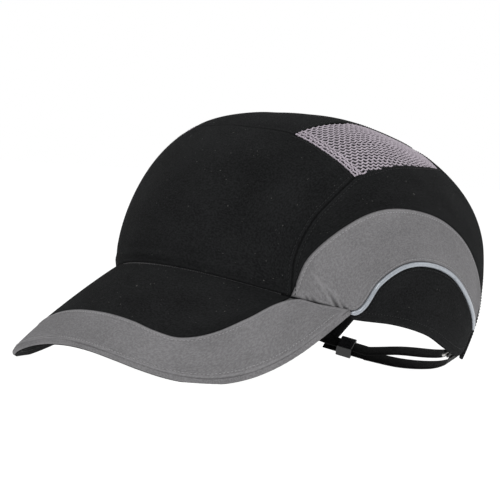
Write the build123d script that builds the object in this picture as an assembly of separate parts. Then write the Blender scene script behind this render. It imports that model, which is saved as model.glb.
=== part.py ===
"""Bump cap: a fabric baseball-style cover with a peak, a hard shell and foam pads inside, a
sweatband, and a narrow adjusting strap across the rear opening.

Millimetres. Front is -Y, the wearer's left is +X, up is +Z. The shapes are worked out about the
middle of the head opening and then tilted and lifted, so that the cap stands on Z = 0 with the
origin under the middle of its bounding box.
"""

from build123d import *
import os
from functools import lru_cache
from math import ceil, cos, hypot, pi, radians, sin, sqrt

# ---- Crown: a rounded super-ellipsoid about the middle of the head opening ----
crown_half_width = 88.0
crown_front = 88.8
crown_rear = 132.5
crown_top = 85.15
crown_low = 135.0
crown_tilt = 3.7
crown_lean = -0.02
plan_power = 2.03
end_power = 1.85
side_power = 1.07
fore_power = -0.51
low_power = 1.86

# ---- Peak: a flat crescent bent down at both sides ----
peak_pitch = 26.7
peak_root_y = -88.9
peak_root_z = 6.7
peak_half_width = 96.0
peak_length = 124.6
peak_back = -56.2
peak_side_power = 4.0
peak_nose_power = 2.61
peak_drop = 27.7
peak_drop_end = 5.9
peak_drop_growth = 0.175
peak_flare = 0.214
peak_sag = 15.5
peak_station = 80.0
band_front = 43.8
band_terms = (-12.8, 75.2, -163.9)

# ---- Cloth, shell and foam, as depths below the outer surface ----
cloth = 1.4
seam_gap = 0.15
shell_outer = 2.4
shell_thickness = 2.5
pad_outer = shell_outer + shell_thickness + 1.0
pad_thickness = 4.0
tape_outer = cloth + 0.3
tape_thickness = 0.5
tape_half_width = 5.0
sweatband_thickness = 2.2
board_thickness = 1.8
peak_cloth = 0.9
edge_piping_radius = 1.9
side_piping_half_width = 1.25
side_piping_proud = 1.0
binding_width = 4.0

# ---- Strap, slider and ring ----
webbing_width = 9.0
webbing_thickness = 1.1
slider_centre = (-43.5, 89.8, -54.8)
slider_along = (0.78, 0.57, -0.26)
slider_lean = 64.0
slider_length = 9.0
slider_slot_height = 1.7
slider_septum = 1.6
slider_wall = 1.0
slider_slot_width = webbing_width + 0.6
straight_before = 9.0
straight_after = 11.0
tail_length = 13.0
ring_bar = (42.9, 93.7, -49.2)
ring_along = (0.64, -0.76, 0.12)
ring_lean = 60.0
ring_wire = 0.8
ring_length = 8.6
ring_width = webbing_width + 2 * ring_wire + 1.2
strap_fold_radius = 2.2
tab_fold_radius = 1.45
strap_middle_y = 106.0
strap_upper_z = -55.2
strap_lower_z = -62.7

# ---- How the cap stands ----
stand_tilt = 4.7
stand_shift_y = 5.5
stand_lift = 56.6


# ---------------------------------------------------------------- crown surface
def crown_level(x, y, z):
    """1 on the outer surface, less inside, more outside; grows in proportion along a ray."""
    tilt = radians(crown_tilt)
    up = cos(tilt) * z - sin(tilt) * y
    back = cos(tilt) * y + sin(tilt) * z - crown_lean * up
    length = crown_front if back < 0 else crown_rear
    height = crown_top if up > 0 else crown_low
    forward = -back / (hypot(x, back) + 1e-9)
    sideways = (1 - forward**2) ** 2
    power = end_power + sideways * (side_power + fore_power * forward) if up > 0 else low_power
    plan = (abs(x / crown_half_width) ** plan_power + abs(back / length) ** plan_power) ** (1 / plan_power)
    return (plan**power + abs(up / height) ** power) ** (1 / power)


def on_crown(point, depth=0.0):
    """The point of the outer surface on the ray through point, moved inward by depth."""
    x, y, z = point
    distance = sqrt(x * x + y * y + z * z)
    scale = 1 / crown_level(x, y, z) - depth / distance
    return (x * scale, y * scale, z * scale)


# ---------------------------------------------------------------- curves and patches
def add(a, b, scale=1.0):
    return (a[0] + b[0] * scale, a[1] + b[1] * scale, a[2] + b[2] * scale)


def cross(a, b):
    return (a[1] * b[2] - a[2] * b[1], a[2] * b[0] - a[0] * b[2], a[0] * b[1] - a[1] * b[0])


def unit(a):
    size = sqrt(a[0] ** 2 + a[1] ** 2 + a[2] ** 2)
    return (a[0] / size, a[1] / size, a[2] / size)


def mirrored(points):
    """The same points on the other side of the cap, in the same order."""
    return [(-x, y, z) for x, y, z in points]


def curve(points):
    """A smooth curve through the points; the function takes 0 to 1 along its length."""
    knots = [0.0]
    for a, b in zip(points, points[1:]):
        knots.append(knots[-1] + sqrt(sum((q - p) ** 2 for p, q in zip(a, b))))
    slopes = []
    for i in range(len(points)):
        low = max(i - 1, 0)
        high = min(i + 1, len(points) - 1)
        slopes.append([(points[high][k] - points[low][k]) / (knots[high] - knots[low]) for k in range(3)])

    def at(t):
        s = t * knots[-1]
        i = 0
        while i < len(points) - 2 and s > knots[i + 1]:
            i += 1
        step = knots[i + 1] - knots[i]
        w = (s - knots[i]) / step
        from_end = w * w * (3 - 2 * w)
        out_slope = (w - 2 * w * w + w**3) * step
        in_slope = (w**3 - w * w) * step
        return tuple(
            points[i][k] * (1 - from_end) + points[i + 1][k] * from_end
            + slopes[i][k] * out_slope + slopes[i + 1][k] * in_slope
            for k in range(3)
        )

    return at


def beside(line, distance):
    """A curve on the crown that runs at a distance to the left of line, seen from outside."""

    def at(t):
        here = on_crown(line(t))
        ahead = on_crown(line(min(t + 0.01, 1.0)))
        behind = on_crown(line(max(t - 0.01, 0.0)))
        along = unit(add(ahead, behind, -1))
        return add(here, unit(cross(here, along)), distance)

    return at


def curve_length(line):
    places = [on_crown(line(i / 20)) for i in range(21)]
    return sum(sqrt(sum((q - p) ** 2 for p, q in zip(a, b))) for a, b in zip(places, places[1:]))


def coons(bottom, top, left, right):
    """A four-sided patch: bottom and top run with u, left and right run with v."""
    corners = (bottom(0.0), bottom(1.0), top(0.0), top(1.0))

    def at(u, v):
        low, high, west, east = bottom(u), top(u), left(v), right(v)
        return tuple(
            (1 - v) * low[k] + v * high[k] + (1 - u) * west[k] + u * east[k]
            - (1 - u) * (1 - v) * corners[0][k] - u * (1 - v) * corners[1][k]
            - (1 - u) * v * corners[2][k] - u * v * corners[3][k]
            for k in range(3)
        )

    return at


def solid_between(outer, inner, across, along):
    """A closed solid between two surfaces, each a function of u and v from 0 to 1."""
    skins = []
    for surface in (outer, inner):
        grid = [[Vector(*surface(i / across, j / along)) for j in range(along + 1)] for i in range(across + 1)]
        skins.append(Face.make_surface_from_array_of_points(grid, tol=0.02, min_deg=3, max_deg=6))
    walls = [Face.make_surface_from_curves(a, b) for a, b in zip(skins[0].edges(), skins[1].edges())]
    return Solid(Shell(skins + walls))


def crown_patch(surface, depth_outer, depth_inner, gap=seam_gap, spacing=7.0):
    """A piece of cloth, foam or tape that lies between two depths under the outer surface."""
    width = curve_length(lambda t: surface(t, 0.5))
    height = curve_length(lambda t: surface(0.5, t))
    edge_u = gap / width
    edge_v = gap / height

    def at_depth(depth):
        def place(u, v):
            point = surface(edge_u + u * (1 - 2 * edge_u), edge_v + v * (1 - 2 * edge_v))
            local = depth(v) if callable(depth) else depth
            return on_crown(point, local)

        return place

    across = max(6, ceil(width / spacing))
    along = max(4, ceil(height / spacing))
    return solid_between(at_depth(depth_outer), at_depth(depth_inner), across, along)


def smooth_step(t):
    t = min(max(t, 0.0), 1.0)
    return t * t * (3 - 2 * t)


# ---------------------------------------------------------------- peak surface
def peak_point(x, reach, drop=0.0):
    """A point of the peak: x across, reach forward along it, drop below its top face."""

    def top(x, reach):
        share = (x / peak_station) ** 2
        fall = (peak_drop * share + peak_drop_end * share**2) * (1 + peak_drop_growth * reach / 100)
        fall += peak_sag * (reach / 100) ** 2
        pitch = radians(peak_pitch)
        y = peak_root_y - reach * cos(pitch) + fall * sin(pitch)
        z = peak_root_z - reach * sin(pitch) - fall * cos(pitch)
        return (x * (1 + peak_flare * reach / 100), y, z)

    here = top(x, reach)
    across = add(top(x + 0.5, reach), top(x - 0.5, reach), -1)
    forward = add(top(x, reach + 0.5), top(x, reach - 0.5), -1)
    return add(here, unit(cross(across, forward)), drop)


def find_zero(function, low, high):
    """Where a function that is negative at low and positive at high crosses zero."""
    for _ in range(40):
        middle = (low + high) / 2
        if function(middle) < 0:
            low = middle
        else:
            high = middle
    return (low + high) / 2


@lru_cache(maxsize=None)
def peak_root(x):
    """The reach at which the peak's top face meets the crown."""
    return find_zero(lambda reach: crown_level(*peak_point(x, reach)) - 1, peak_back - 6, 60.0)


def peak_rim(s, inset=0.0):
    """The peak's outline, s from -1 to 1, moved inward by inset, as x and reach."""

    def edge(s):
        x = peak_half_width * sin(pi * s / 2)
        share = max(1 - abs(sin(pi * s / 2)) ** peak_side_power, 0.0)
        return x, peak_back + peak_length * share ** (1 / peak_nose_power)

    x, reach = edge(s)
    ahead = edge(min(s + 0.004, 1.0))
    behind = edge(max(s - 0.004, -1.0))
    step_x = ahead[0] - behind[0]
    step_reach = ahead[1] - behind[1]
    size = hypot(step_x, step_reach)
    return x + inset * step_reach / size, reach - inset * step_x / size


def peak_rim_end(inset, margin=3.0):
    """The s at which the outline, moved inward by inset, comes within margin of the crown."""

    def spare(s):
        x, reach = peak_rim(s, inset)
        return margin - (reach - peak_root(x))

    return find_zero(spare, 0.7, 0.995)


def colour_line(x):
    """The reach of the seam between the black middle and the grey band of the peak."""
    share = (x / peak_station) ** 2
    return band_front + sum(term * share ** (i + 1) for i, term in enumerate(band_terms))


def peak_sheet(inner, outer, drop_top, drop_bottom, across=36, along=8):
    """A layer of the peak between two lines of x and reach, each a function of 0 to 1."""

    def at_drop(drop):
        def place(u, v):
            near = inner(u)
            far = outer(u)
            return peak_point(near[0] + (far[0] - near[0]) * v, near[1] + (far[1] - near[1]) * v, drop)

        return place

    return solid_between(at_drop(drop_top), at_drop(drop_bottom), across, along)


corner_x = find_zero(lambda x: peak_root(x) - colour_line(x), 55.0, 88.0)
peak_stack = 2 * peak_cloth + board_thickness + 0.2
root_gap = 0.3
peak_inset = 2 * edge_piping_radius + 0.1
root_end_x = peak_rim(peak_rim_end(0.0))[0]


def root_line(t):
    x = (root_end_x - peak_inset) * (2 * t - 1)
    return x, peak_root(x) + root_gap


def flat_curve(half):
    """An even curve of x and reach from a list for one half, its middle point first."""
    points = [(-x, reach, 0) for x, reach in half[::-1]] + [(x, reach, 0) for x, reach in half[1:]]
    line = curve(points)
    return lambda t: line(t)[:2]


inset_end = peak_rim_end(peak_inset)
rim_line = flat_curve([peak_rim(inset_end * sin(pi / 2 * i / 14), peak_inset) for i in range(15)])


def root_on_crown(x):
    return on_crown(peak_point(x, peak_root(x)))


# ---------------------------------------------------------------- seam lines, wearer's left
front_corner = root_on_crown(corner_x)
peak_end = root_on_crown(root_end_x)
mesh_front_low = (78, -13, 53.5)
mesh_front_high = (44, -26, 76)
mesh_rear_low = (48, 74, 53)
mesh_rear_high = (25, 78, 62)
arch_grey = (45, 111, -27)
arch_piping = (50, 103, -40)
lobe_tip = (54, 90, -53.5)
piping_start = add(peak_end, (-0.4, 0.6, -1.8))
rim_start = add(peak_end, (-0.6, 1.0, -5.2))

front_seam = curve([front_corner, (73, -50, 13), (76, -40, 32), (78, -28, 43), mesh_front_low])
mesh_front = curve([mesh_front_low, (62, -22, 67), mesh_front_high])
mesh_low = curve([mesh_front_low, (77, 10, 58), (68, 43, 57), mesh_rear_low])
mesh_high = curve([mesh_front_high, (45, 5, 81), (38, 45, 75), mesh_rear_high])
arch_points = [lobe_tip, (53, 97, -48), arch_piping, arch_grey, (34, 119, -15), (18, 126, -10)]
arch_top = (0, 129, -8.5)


arch_edge_points = mirrored(arch_points) + [arch_top] + arch_points[::-1]
arch_edge = curve(arch_edge_points)


def between(line, start, end):
    """The stretch of a curve from start to end, as a curve of its own."""
    return lambda t: line(start + (end - start) * t)


def mirror_line(line):
    return lambda t: (-line(t)[0], line(t)[1], line(t)[2])


def share_at(points, place):
    """How far along the curve through the points one of them lies, from 0 to 1."""
    steps = [sqrt(sum((q - p) ** 2 for p, q in zip(a, b))) for a, b in zip(points, points[1:])]
    return sum(steps[: points.index(place)]) / sum(steps)


arch_inner = beside(arch_edge, -binding_width)
grey_share = share_at(arch_edge_points, arch_grey)
piping_share = share_at(arch_edge_points, arch_piping)
grey_end = arch_inner(grey_share)
piping_end = arch_inner(piping_share)
lobe_end = arch_inner(0.985)
rear_seam = curve([grey_end, (57, 102, 5), (54, 90, 33), mesh_rear_low])
grey_top = curve([
    front_corner, (77, -44, 13), (84, -19, 31), (85, 6, 36.5), (81, 41, 31),
    (75, 68, 19), (66, 89, 0), grey_end,
])
piping_line = curve([
    piping_start, (86, -14, -14.5), (88, -4, -3), (88, 14, 5), (85, 34, 5),
    (80, 56, -2), (71, 76, -16), piping_end,
])
rim_curve = curve([rim_start, (86, 8, -26), (81, 37, -34), (72, 59, -43.5), (62, 79, -50.5), lobe_end])


# ---------------------------------------------------------------- cover panels
def front_panel():
    """The large front panel, from the peak up to the mesh panels."""
    bottom = lambda t: root_on_crown(corner_x * (2 * t - 1))
    right = [mesh_front_low, (62, -22, 67), mesh_front_high]
    top = curve(mirrored(right) + [(0, -33, 84)] + right[::-1])
    return crown_patch(coons(bottom, top, mirror_line(front_seam), front_seam), 0, cloth)


def top_panel():
    """The strip over the top of the head, between the two mesh panels."""
    front = curve([(-44, -26, 76), (0, -33, 84), mesh_front_high])
    rear = curve([(-25, 78, 62), (0, 80, 66), mesh_rear_high])
    return crown_patch(coons(front, rear, mirror_line(mesh_high), mesh_high), 0, cloth)


def mesh_panel():
    """The open mesh beside the top strip."""
    rear = curve([mesh_rear_low, mesh_rear_high])
    return crown_patch(coons(mesh_low, mesh_high, mesh_front, rear), 0.2, 1.2)


def crown_side_panel():
    """The dark panel between the front seam, the mesh and the grey side panel."""
    low = between(grey_top, 0.08, 1)
    high = curve([
        add(front_seam(0.18), (0, 1.2, 0)), (74.3, -46.4, 19), (76, -39.5, 32), (78, -28.5, 42.3),
        (78.3, -16.6, 51.2), (78, -8, 54.9), (77, 10, 58), (68, 43, 57), mesh_rear_low,
    ])
    return crown_patch(coons(low, high, curve([low(0), high(0)]), rear_seam), 0, cloth)


def rear_panel():
    """The dark panel down the back of the head to the arched opening."""
    over = curve([(-48, 74, 53), (-25, 78, 62), (0, 80, 66), mesh_rear_high, mesh_rear_low])
    under = between(arch_inner, 1 - grey_share, grey_share)
    return crown_patch(coons(under, over, mirror_line(rear_seam), rear_seam), 0, cloth)


def side_panel():
    """The grey panel that sweeps back over the ear."""
    low = beside(piping_line, side_piping_half_width + seam_gap)
    front = curve([low(0), root_on_crown((corner_x + root_end_x) / 2), front_corner])
    return crown_patch(coons(low, grey_top, front, curve([low(1), grey_end])), 0, cloth)


def ear_panel():
    """The dark panel over the ear, with the lobe that carries the strap."""
    high = beside(piping_line, -side_piping_half_width - 2 * seam_gap)
    rear = [arch_inner(piping_share + (0.985 - piping_share) * i / 3) for i in (2, 1)]
    sheet = coons(
        rim_curve, high, curve([rim_curve(0), high(0)]), curve([rim_curve(1)] + rear + [high(1)])
    )
    return crown_patch(sheet, 0, cloth)


def side_piping():
    """The raised reflective piping between the grey panel and the ear panel."""
    low = beside(piping_line, -side_piping_half_width)
    high = beside(piping_line, side_piping_half_width)
    sheet = coons(low, high, curve([low(0), high(0)]), curve([low(1), high(1)]))
    raised = lambda v: -side_piping_proud * 4 * v * (1 - v)
    return crown_patch(sheet, raised, cloth - 0.2, gap=0, spacing=5.0)


def arch_binding():
    """The binding tape round the arched rear opening, from lobe to lobe."""
    outer = beside(arch_edge, seam_gap - binding_width)
    sheet = coons(
        outer, arch_edge, curve([outer(0), arch_edge(0)]), curve([outer(1), arch_edge(1)])
    )
    return crown_patch(sheet, -0.3, cloth + 0.3, gap=0, spacing=4.0)


def front_seam_tape():
    """The tape that covers the front seam on the inside, above the sweatband."""
    line = between(front_seam, 0.45, 0.95)
    low = beside(line, -tape_half_width)
    high = beside(line, tape_half_width)
    sheet = coons(low, high, curve([low(0), high(0)]), curve([low(1), high(1)]))
    return crown_patch(sheet, tape_outer, tape_outer + tape_thickness, gap=0)


# ---------------------------------------------------------------- sweatband, shell and pads
def sweatband():
    """The band round the inside of the rim; its upper part folds in over the shell's edge."""
    side = [(84, -21, -18.5), (86, 8, -26), (81, 37, -34), (70, 63, -45)]
    fore = [root_on_crown(x) for x in (0, 30, 55, corner_x)]
    fore_left = fore[1:]
    low = curve(mirrored(side[::-1]) + mirrored(fore_left[::-1]) + fore[:1] + fore_left + side)
    tops = [(30, -83, 36), (55, -69, 31), (72, -50, 26), (84, -21, 17), (87, 8, 12), (83, 40, 7), (76, 68, 2)]
    high = curve(mirrored(tops[::-1]) + [(0, -88, 38)] + tops)
    sheet = coons(low, high, curve([low(0), high(0)]), curve([low(1), high(1)]))
    outer = lambda v: tape_outer + (pad_outer - tape_outer) * smooth_step(v / 0.38)
    inner = lambda v: outer(v) + sweatband_thickness
    return crown_patch(sheet, outer, inner, gap=0.5, spacing=9.0)


def dome(depth, base, top_steps=12):
    """The solid under the crown surface, depth inside it, above the plane z = base."""

    def inside(x, y, z):
        distance = sqrt(x * x + y * y + z * z)
        return distance * (1 / crown_level(x, y, z) - 1) - depth

    angles = [radians(a) for a in range(0, 181, 3)]
    apex = max((on_crown((0, -cos(a), sin(a)), depth) for a in angles), key=lambda p: p[2])
    sections = []
    for i in range(top_steps):
        z = base + (apex[2] - base) * sin(pi / 2 * i / top_steps)
        centre_y = 20 + (apex[1] - 20) * max(z / apex[2], 0)
        ring = []
        for j in range(28):
            turn = 2 * pi * j / 28
            aim = (sin(turn), -cos(turn))
            reach = find_zero(lambda r: -inside(r * aim[0], centre_y + r * aim[1], z), 0.0, 170.0)
            ring.append(Vector(reach * aim[0], centre_y + reach * aim[1], z))
        sections.append(Wire([Edge.make_spline(ring, periodic=True)]))
    return Solid.make_loft(sections + [Vertex(*apex)])


def bump_shell():
    """The hard shell: a dome with a cut-up front edge and slots under the mesh panels."""
    shell = dome(shell_outer, -14) - dome(shell_outer + shell_thickness, -20)
    with BuildSketch(Plane.YZ) as below:
        with BuildLine():
            Polyline((-120, 32), (-24, -3), (90, -3.5), (160, 0), (160, -60), (-120, -60), (-120, 32))
        make_face()
    shell -= extrude(below.sketch, amount=120, both=True)
    for side in (-1, 1):
        for y, reach, turn in ((2, 62, 42), (18, 61, 42), (34, 58, 41), (50, 53, 40)):
            slot = extrude(SlotOverall(24, 5.5), amount=30)
            foot = on_crown((reach, y, 68 - y * 0.1), 18)
            shell -= Pos(side * foot[0], foot[1], foot[2]) * Rot(0, side * turn, 0) * slot
    return shell


def foam_pad(front_low, rear_low, rear_high, front_high):
    """A foam pad inside the shell, with four corners."""
    sheet = coons(
        curve([front_low, rear_low]), curve([front_high, rear_high]),
        curve([front_low, front_high]), curve([rear_low, rear_high]),
    )
    return crown_patch(sheet, pad_outer, pad_outer + pad_thickness, gap=0)


# ---------------------------------------------------------------- peak
def peak_board():
    """The stiff board inside the peak."""
    top = peak_cloth + 0.1
    return peak_sheet(root_line, rim_line, top, top + board_thickness)


def peak_under_cover():
    """The cloth on the underside of the peak."""
    top = peak_cloth + board_thickness + 0.2
    return peak_sheet(root_line, rim_line, top, top + peak_cloth)


def peak_top_panel():
    """The dark middle of the peak's top."""
    end = corner_x - 2.2
    near = lambda t: (end * (2 * t - 1), peak_root(end * (2 * t - 1)) + root_gap)
    far = lambda t: (end * (2 * t - 1), colour_line(end * (2 * t - 1)) - seam_gap)
    return peak_sheet(near, far, 0, peak_cloth)


def peak_band():
    """The grey band round the edge of the peak's top."""
    half = []
    for i in range(8):
        x = corner_x * sin(pi / 2 * i / 8)
        half.append((x, colour_line(x) + seam_gap))
    for share in (0.15, 0.5, 1.0):
        x = corner_x + (root_end_x - peak_inset - corner_x) * share
        half.append((x, peak_root(x) + root_gap))
    return peak_sheet(flat_curve(half), rim_line, 0, peak_cloth, across=60)


def peak_edge_piping():
    """The rolled piping round the edge of the peak."""
    end = peak_rim_end(edge_piping_radius)
    places = []
    for i in range(41):
        x, reach = peak_rim(end * (i / 20 - 1), edge_piping_radius)
        places.append(Vector(*peak_point(x, reach, peak_stack / 2)))
    path = Edge.make_spline(places)
    start = Plane(origin=path @ 0, z_dir=path % 0)
    return sweep(start * Circle(edge_piping_radius), path=path)


# ---------------------------------------------------------------- strap
def strap_axes(along, lean):
    """Unit vectors along the strap, across its width and through its thickness."""
    t = unit(along)
    level = unit(cross((0, 0, 1), t))
    rise = cross(t, level)
    width = add(tuple(c * cos(radians(lean)) for c in rise), level, sin(radians(lean)))
    return t, width, cross(t, width)


def strap_stations():
    """Centre, width direction and thickness direction at stations along the strap."""
    slide, slide_width, slide_thick = strap_axes(slider_along, slider_lean)
    ring_out, ring_wide, ring_thick = strap_axes(ring_along, ring_lean)
    layer = (slider_slot_height + slider_septum) / 2
    upper = add(slider_centre, slide_thick, layer)
    lower = add(slider_centre, slide_thick, -layer)
    fold = strap_fold_radius
    anchor = on_crown((-60, 76, -44), cloth + webbing_thickness / 2 + 2.2)
    there = [
        anchor,
        add(upper, slide, -straight_before - 2),
        add(upper, slide, -straight_before),
        upper,
        add(upper, slide, straight_after),
        add(upper, slide, straight_after + 2),
        (-14, strap_middle_y - 1.0, strap_upper_z - 0.3),
        (14, strap_middle_y - 1.0, strap_upper_z + 0.6),
        (32, 101.0, -52.0),
        add(ring_bar, ring_thick, fold),
    ]
    there_lean = [25] + [slider_lean] * 7 + [ring_lean, ring_lean]
    back = [
        add(ring_bar, ring_thick, -fold),
        (31, 101.5, -57.0),
        (14, strap_middle_y - 1.0, strap_lower_z + 1.6),
        (-12, strap_middle_y - 1.5, strap_lower_z + 0.2),
        add(lower, slide, straight_after + 2),
        add(lower, slide, straight_after),
        lower,
        add(lower, slide, -tail_length),
    ]
    back_lean = [ring_lean, ring_lean] + [slider_lean] * 6
    stations = ribbon(there, there_lean, 1)
    for i in range(1, 8):
        turn = pi * i / 8
        side = add(tuple(c * cos(turn) for c in ring_thick), ring_out, sin(turn))
        stations.append((add(ring_bar, side, fold), ring_wide, side))
    return stations + ribbon(back, back_lean, -1)


def ribbon(points, leans, facing):
    """Stations along a smooth run of strap; facing is -1 where the strap runs back."""
    line = curve(points)
    knots = [0.0]
    for a, b in zip(points, points[1:]):
        knots.append(knots[-1] + sqrt(sum((q - p) ** 2 for p, q in zip(a, b))))
    stations = []
    count = ceil(knots[-1] / 3)
    for i in range(count + 1):
        t = i / count
        span = max(k for k in range(len(points) - 1) if t * knots[-1] >= knots[k] - 1e-9)
        share = (t * knots[-1] - knots[span]) / (knots[span + 1] - knots[span])
        lean = leans[span] + (leans[span + 1] - leans[span]) * share
        ahead = line(min(t + 0.004, 1.0))
        behind = line(max(t - 0.004, 0.0))
        run = tuple((p - q) * facing for p, q in zip(ahead, behind))
        _, width, thick = strap_axes(run, lean)
        stations.append((line(t), width, tuple(c * facing for c in thick)))
    return stations


def band_solid(stations, width, thickness):
    """A flat band through stations of centre, width direction and thickness direction."""
    sections = []
    for centre, across, thick in stations:
        corners = []
        for a, b in ((-1, -1), (1, -1), (1, 1), (-1, 1)):
            corner = add(add(centre, across, a * width / 2), thick, b * thickness / 2)
            corners.append(Vector(*corner))
        sections.append(Wire.make_polygon(corners, close=True))
    return Solid.make_loft(sections, ruled=True)


def strap_webbing():
    """The strap: sewn to the right lobe, through the slider, round the ring and back."""
    return band_solid(strap_stations(), webbing_width, webbing_thickness)


def slider_plane():
    along, width, _ = strap_axes(slider_along, slider_lean)
    return Plane(origin=slider_centre, x_dir=width, z_dir=along)


def strap_slider():
    """The plastic slider: two slots, one for each layer of the strap."""
    layer = (slider_slot_height + slider_septum) / 2
    outer_width = slider_slot_width + 2 * slider_wall
    outer_height = 2 * layer + slider_slot_height + 2 * slider_wall
    block = extrude(RectangleRounded(outer_width, outer_height, 0.9), amount=slider_length / 2, both=True)
    block = fillet(block.edges().group_by(Axis.Z)[0], 0.4)
    block = fillet(block.edges().group_by(Axis.Z)[-1], 0.4)
    slot = extrude(RectangleRounded(slider_slot_width, slider_slot_height, 0.4), amount=slider_length, both=True)
    block -= Pos(0, layer, 0) * slot
    block -= Pos(0, -layer, 0) * slot
    return slider_plane().location * block


def ring_plane():
    """The plane of the ring, with its hinge bar on the local X axis through the origin."""
    along, width, _ = strap_axes(ring_along, ring_lean)
    hinge = add(ring_bar, along, ring_length)
    return Plane(origin=hinge, x_dir=width, z_dir=cross(width, along))


def strap_ring():
    """The wire ring between the strap and the left tab."""
    loop = (Pos(0, -ring_length / 2, 0) * RectangleRounded(ring_width, ring_length, 1.5)).wire()
    section = Plane(origin=loop @ 0, z_dir=loop % 0) * Circle(ring_wire)
    return ring_plane().location * sweep(section, path=loop)


def ring_tab():
    """The webbing tab sewn inside the left lobe that holds the ring's hinge bar."""
    out, wide, thick = strap_axes(ring_along, ring_lean)
    hinge = add(ring_bar, out, ring_length)
    fold = tab_fold_radius
    anchor = on_crown((61, 76, -44), cloth + webbing_thickness / 2 + 1.6)
    stations = []
    for i in range(9):
        turn = pi * i / 8
        side = add(tuple(c * cos(turn) for c in thick), out, -sin(turn))
        stations.append((add(hinge, side, fold), wide, side))
    run = [add(hinge, thick, -fold), add(add(hinge, thick, -fold), out, 4.0), anchor]
    flat = ribbon(run, [ring_lean, ring_lean - 10, 30], 1)
    stations += [(centre, width, tuple(-c for c in through)) for centre, width, through in flat[1:]]
    return band_solid(stations, webbing_width, webbing_thickness)


# ---------------------------------------------------------------- assembly
def other_side(shape):
    return mirror(shape, about=Plane.YZ)


def build():
    parts = {
        "front_panel": front_panel(),
        "top_panel": top_panel(),
        "rear_panel": rear_panel(),
        "rear_arch_binding": arch_binding(),
        "sweatband": sweatband(),
        "bump_shell": bump_shell(),
        "front_pad": foam_pad((44, -68, 46), (-44, -68, 46), (-30, -45, 70), (30, -45, 70)),
        "crown_pad": foam_pad((36, -25, 78), (33, 45, 74), (-33, 45, 74), (-36, -25, 78)),
        "rear_pad": foam_pad((40, 112, 14), (-40, 112, 14), (-34, 92, 50), (34, 92, 50)),
        "peak_board": peak_board(),
        "peak_under_cover": peak_under_cover(),
        "peak_top_panel": peak_top_panel(),
        "peak_band": peak_band(),
        "peak_edge_piping": peak_edge_piping(),
        "strap_webbing": strap_webbing(),
        "strap_slider": strap_slider(),
        "strap_ring": strap_ring(),
        "ring_tab": ring_tab(),
    }
    paired = {
        "mesh_panel": mesh_panel(),
        "crown_side_panel": crown_side_panel(),
        "side_panel": side_panel(),
        "ear_panel": ear_panel(),
        "side_piping": side_piping(),
        "front_seam_tape": front_seam_tape(),
        "side_pad": foam_pad((82, -18, 24), (80, 46, 20), (70, 46, 46), (74, -18, 46)),
    }
    for name, shape in paired.items():
        parts[name + "_left"] = shape
        parts[name + "_right"] = other_side(shape)
    return parts


def main():
    os.makedirs("parts", exist_ok=True)
    standing = Pos(0, stand_shift_y, stand_lift) * Rot(stand_tilt, 0, 0)
    for name, shape in build().items():
        export_step(standing * shape, f"parts/{name}.step")


main()
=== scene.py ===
"""Bump cap looks: cloth panels, open mesh, piping, stitching, pads, peak and strap.

The pieces are worked out in millimetres about the middle of the head opening, on the same crown
and peak surfaces as the CAD, and placed() tilts, lifts and scales them into the frame's metres.
Front is -Y, the wearer's left is +X, up is +Z. Depth is measured inward from the outer surface.
"""

from math import ceil, cos, pi, radians, sin

import bpy
import numpy as np
from bpy.props import FloatProperty, FloatVectorProperty, PointerProperty
from mathutils import Matrix


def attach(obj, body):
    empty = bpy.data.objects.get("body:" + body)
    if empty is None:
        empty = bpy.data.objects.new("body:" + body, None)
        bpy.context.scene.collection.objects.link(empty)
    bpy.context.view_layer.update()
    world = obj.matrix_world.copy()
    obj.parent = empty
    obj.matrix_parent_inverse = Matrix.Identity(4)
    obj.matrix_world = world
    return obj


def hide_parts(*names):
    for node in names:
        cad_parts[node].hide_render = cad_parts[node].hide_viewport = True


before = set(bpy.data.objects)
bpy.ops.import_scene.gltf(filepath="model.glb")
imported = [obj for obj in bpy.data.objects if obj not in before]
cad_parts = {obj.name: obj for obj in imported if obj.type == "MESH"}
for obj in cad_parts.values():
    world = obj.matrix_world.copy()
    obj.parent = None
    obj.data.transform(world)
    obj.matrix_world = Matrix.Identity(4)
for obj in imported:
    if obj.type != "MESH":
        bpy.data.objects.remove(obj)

bl_info = {
    "name": "Bump cap looks",
    "version": (1, 0, 0),
    "blender": (4, 5, 0),
    "location": "View3D > Sidebar > Bump cap",
    "description": "Cloth, mesh, piping, stitching, pads and strap of a bump cap",
    "category": "Object",
}

# ---- Crown: a rounded super-ellipsoid about the middle of the head opening ----
crown_half_width = 88.0
crown_front = 88.8
crown_rear = 132.5
crown_top = 85.15
crown_low = 135.0
crown_tilt = 3.7
crown_lean = -0.02
plan_power = 2.03
end_power = 1.85
side_power = 1.07
fore_power = -0.51
low_power = 1.86

# ---- Peak: a flat crescent bent down at both sides ----
peak_pitch = 26.7
peak_root_y = -88.9
peak_root_z = 6.7
peak_half_width = 96.0
peak_length = 124.6
peak_back = -56.2
peak_side_power = 4.0
peak_nose_power = 2.61
peak_drop = 27.7
peak_drop_end = 5.9
peak_drop_growth = 0.175
peak_flare = 0.214
peak_sag = 15.5
peak_station = 80.0
band_front = 43.8
band_terms = (-12.8, 75.2, -163.9)

# ---- Cloth, pads and peak layers ----
cloth = 1.4
seam_gap = 0.06
pad_outer = 5.9
pad_thickness = 4.0
tape_outer = 1.7
tape_thickness = 0.5
tape_half_width = 5.0
sweatband_thickness = 2.2
board_thickness = 1.8
peak_cloth = 0.9
binding_width = 4.0
rim_roll = 1.45
rim_roll_drop = 1.9
band_inset = 1.3
tuck = 1.2
lining_inset = 0.3

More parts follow.
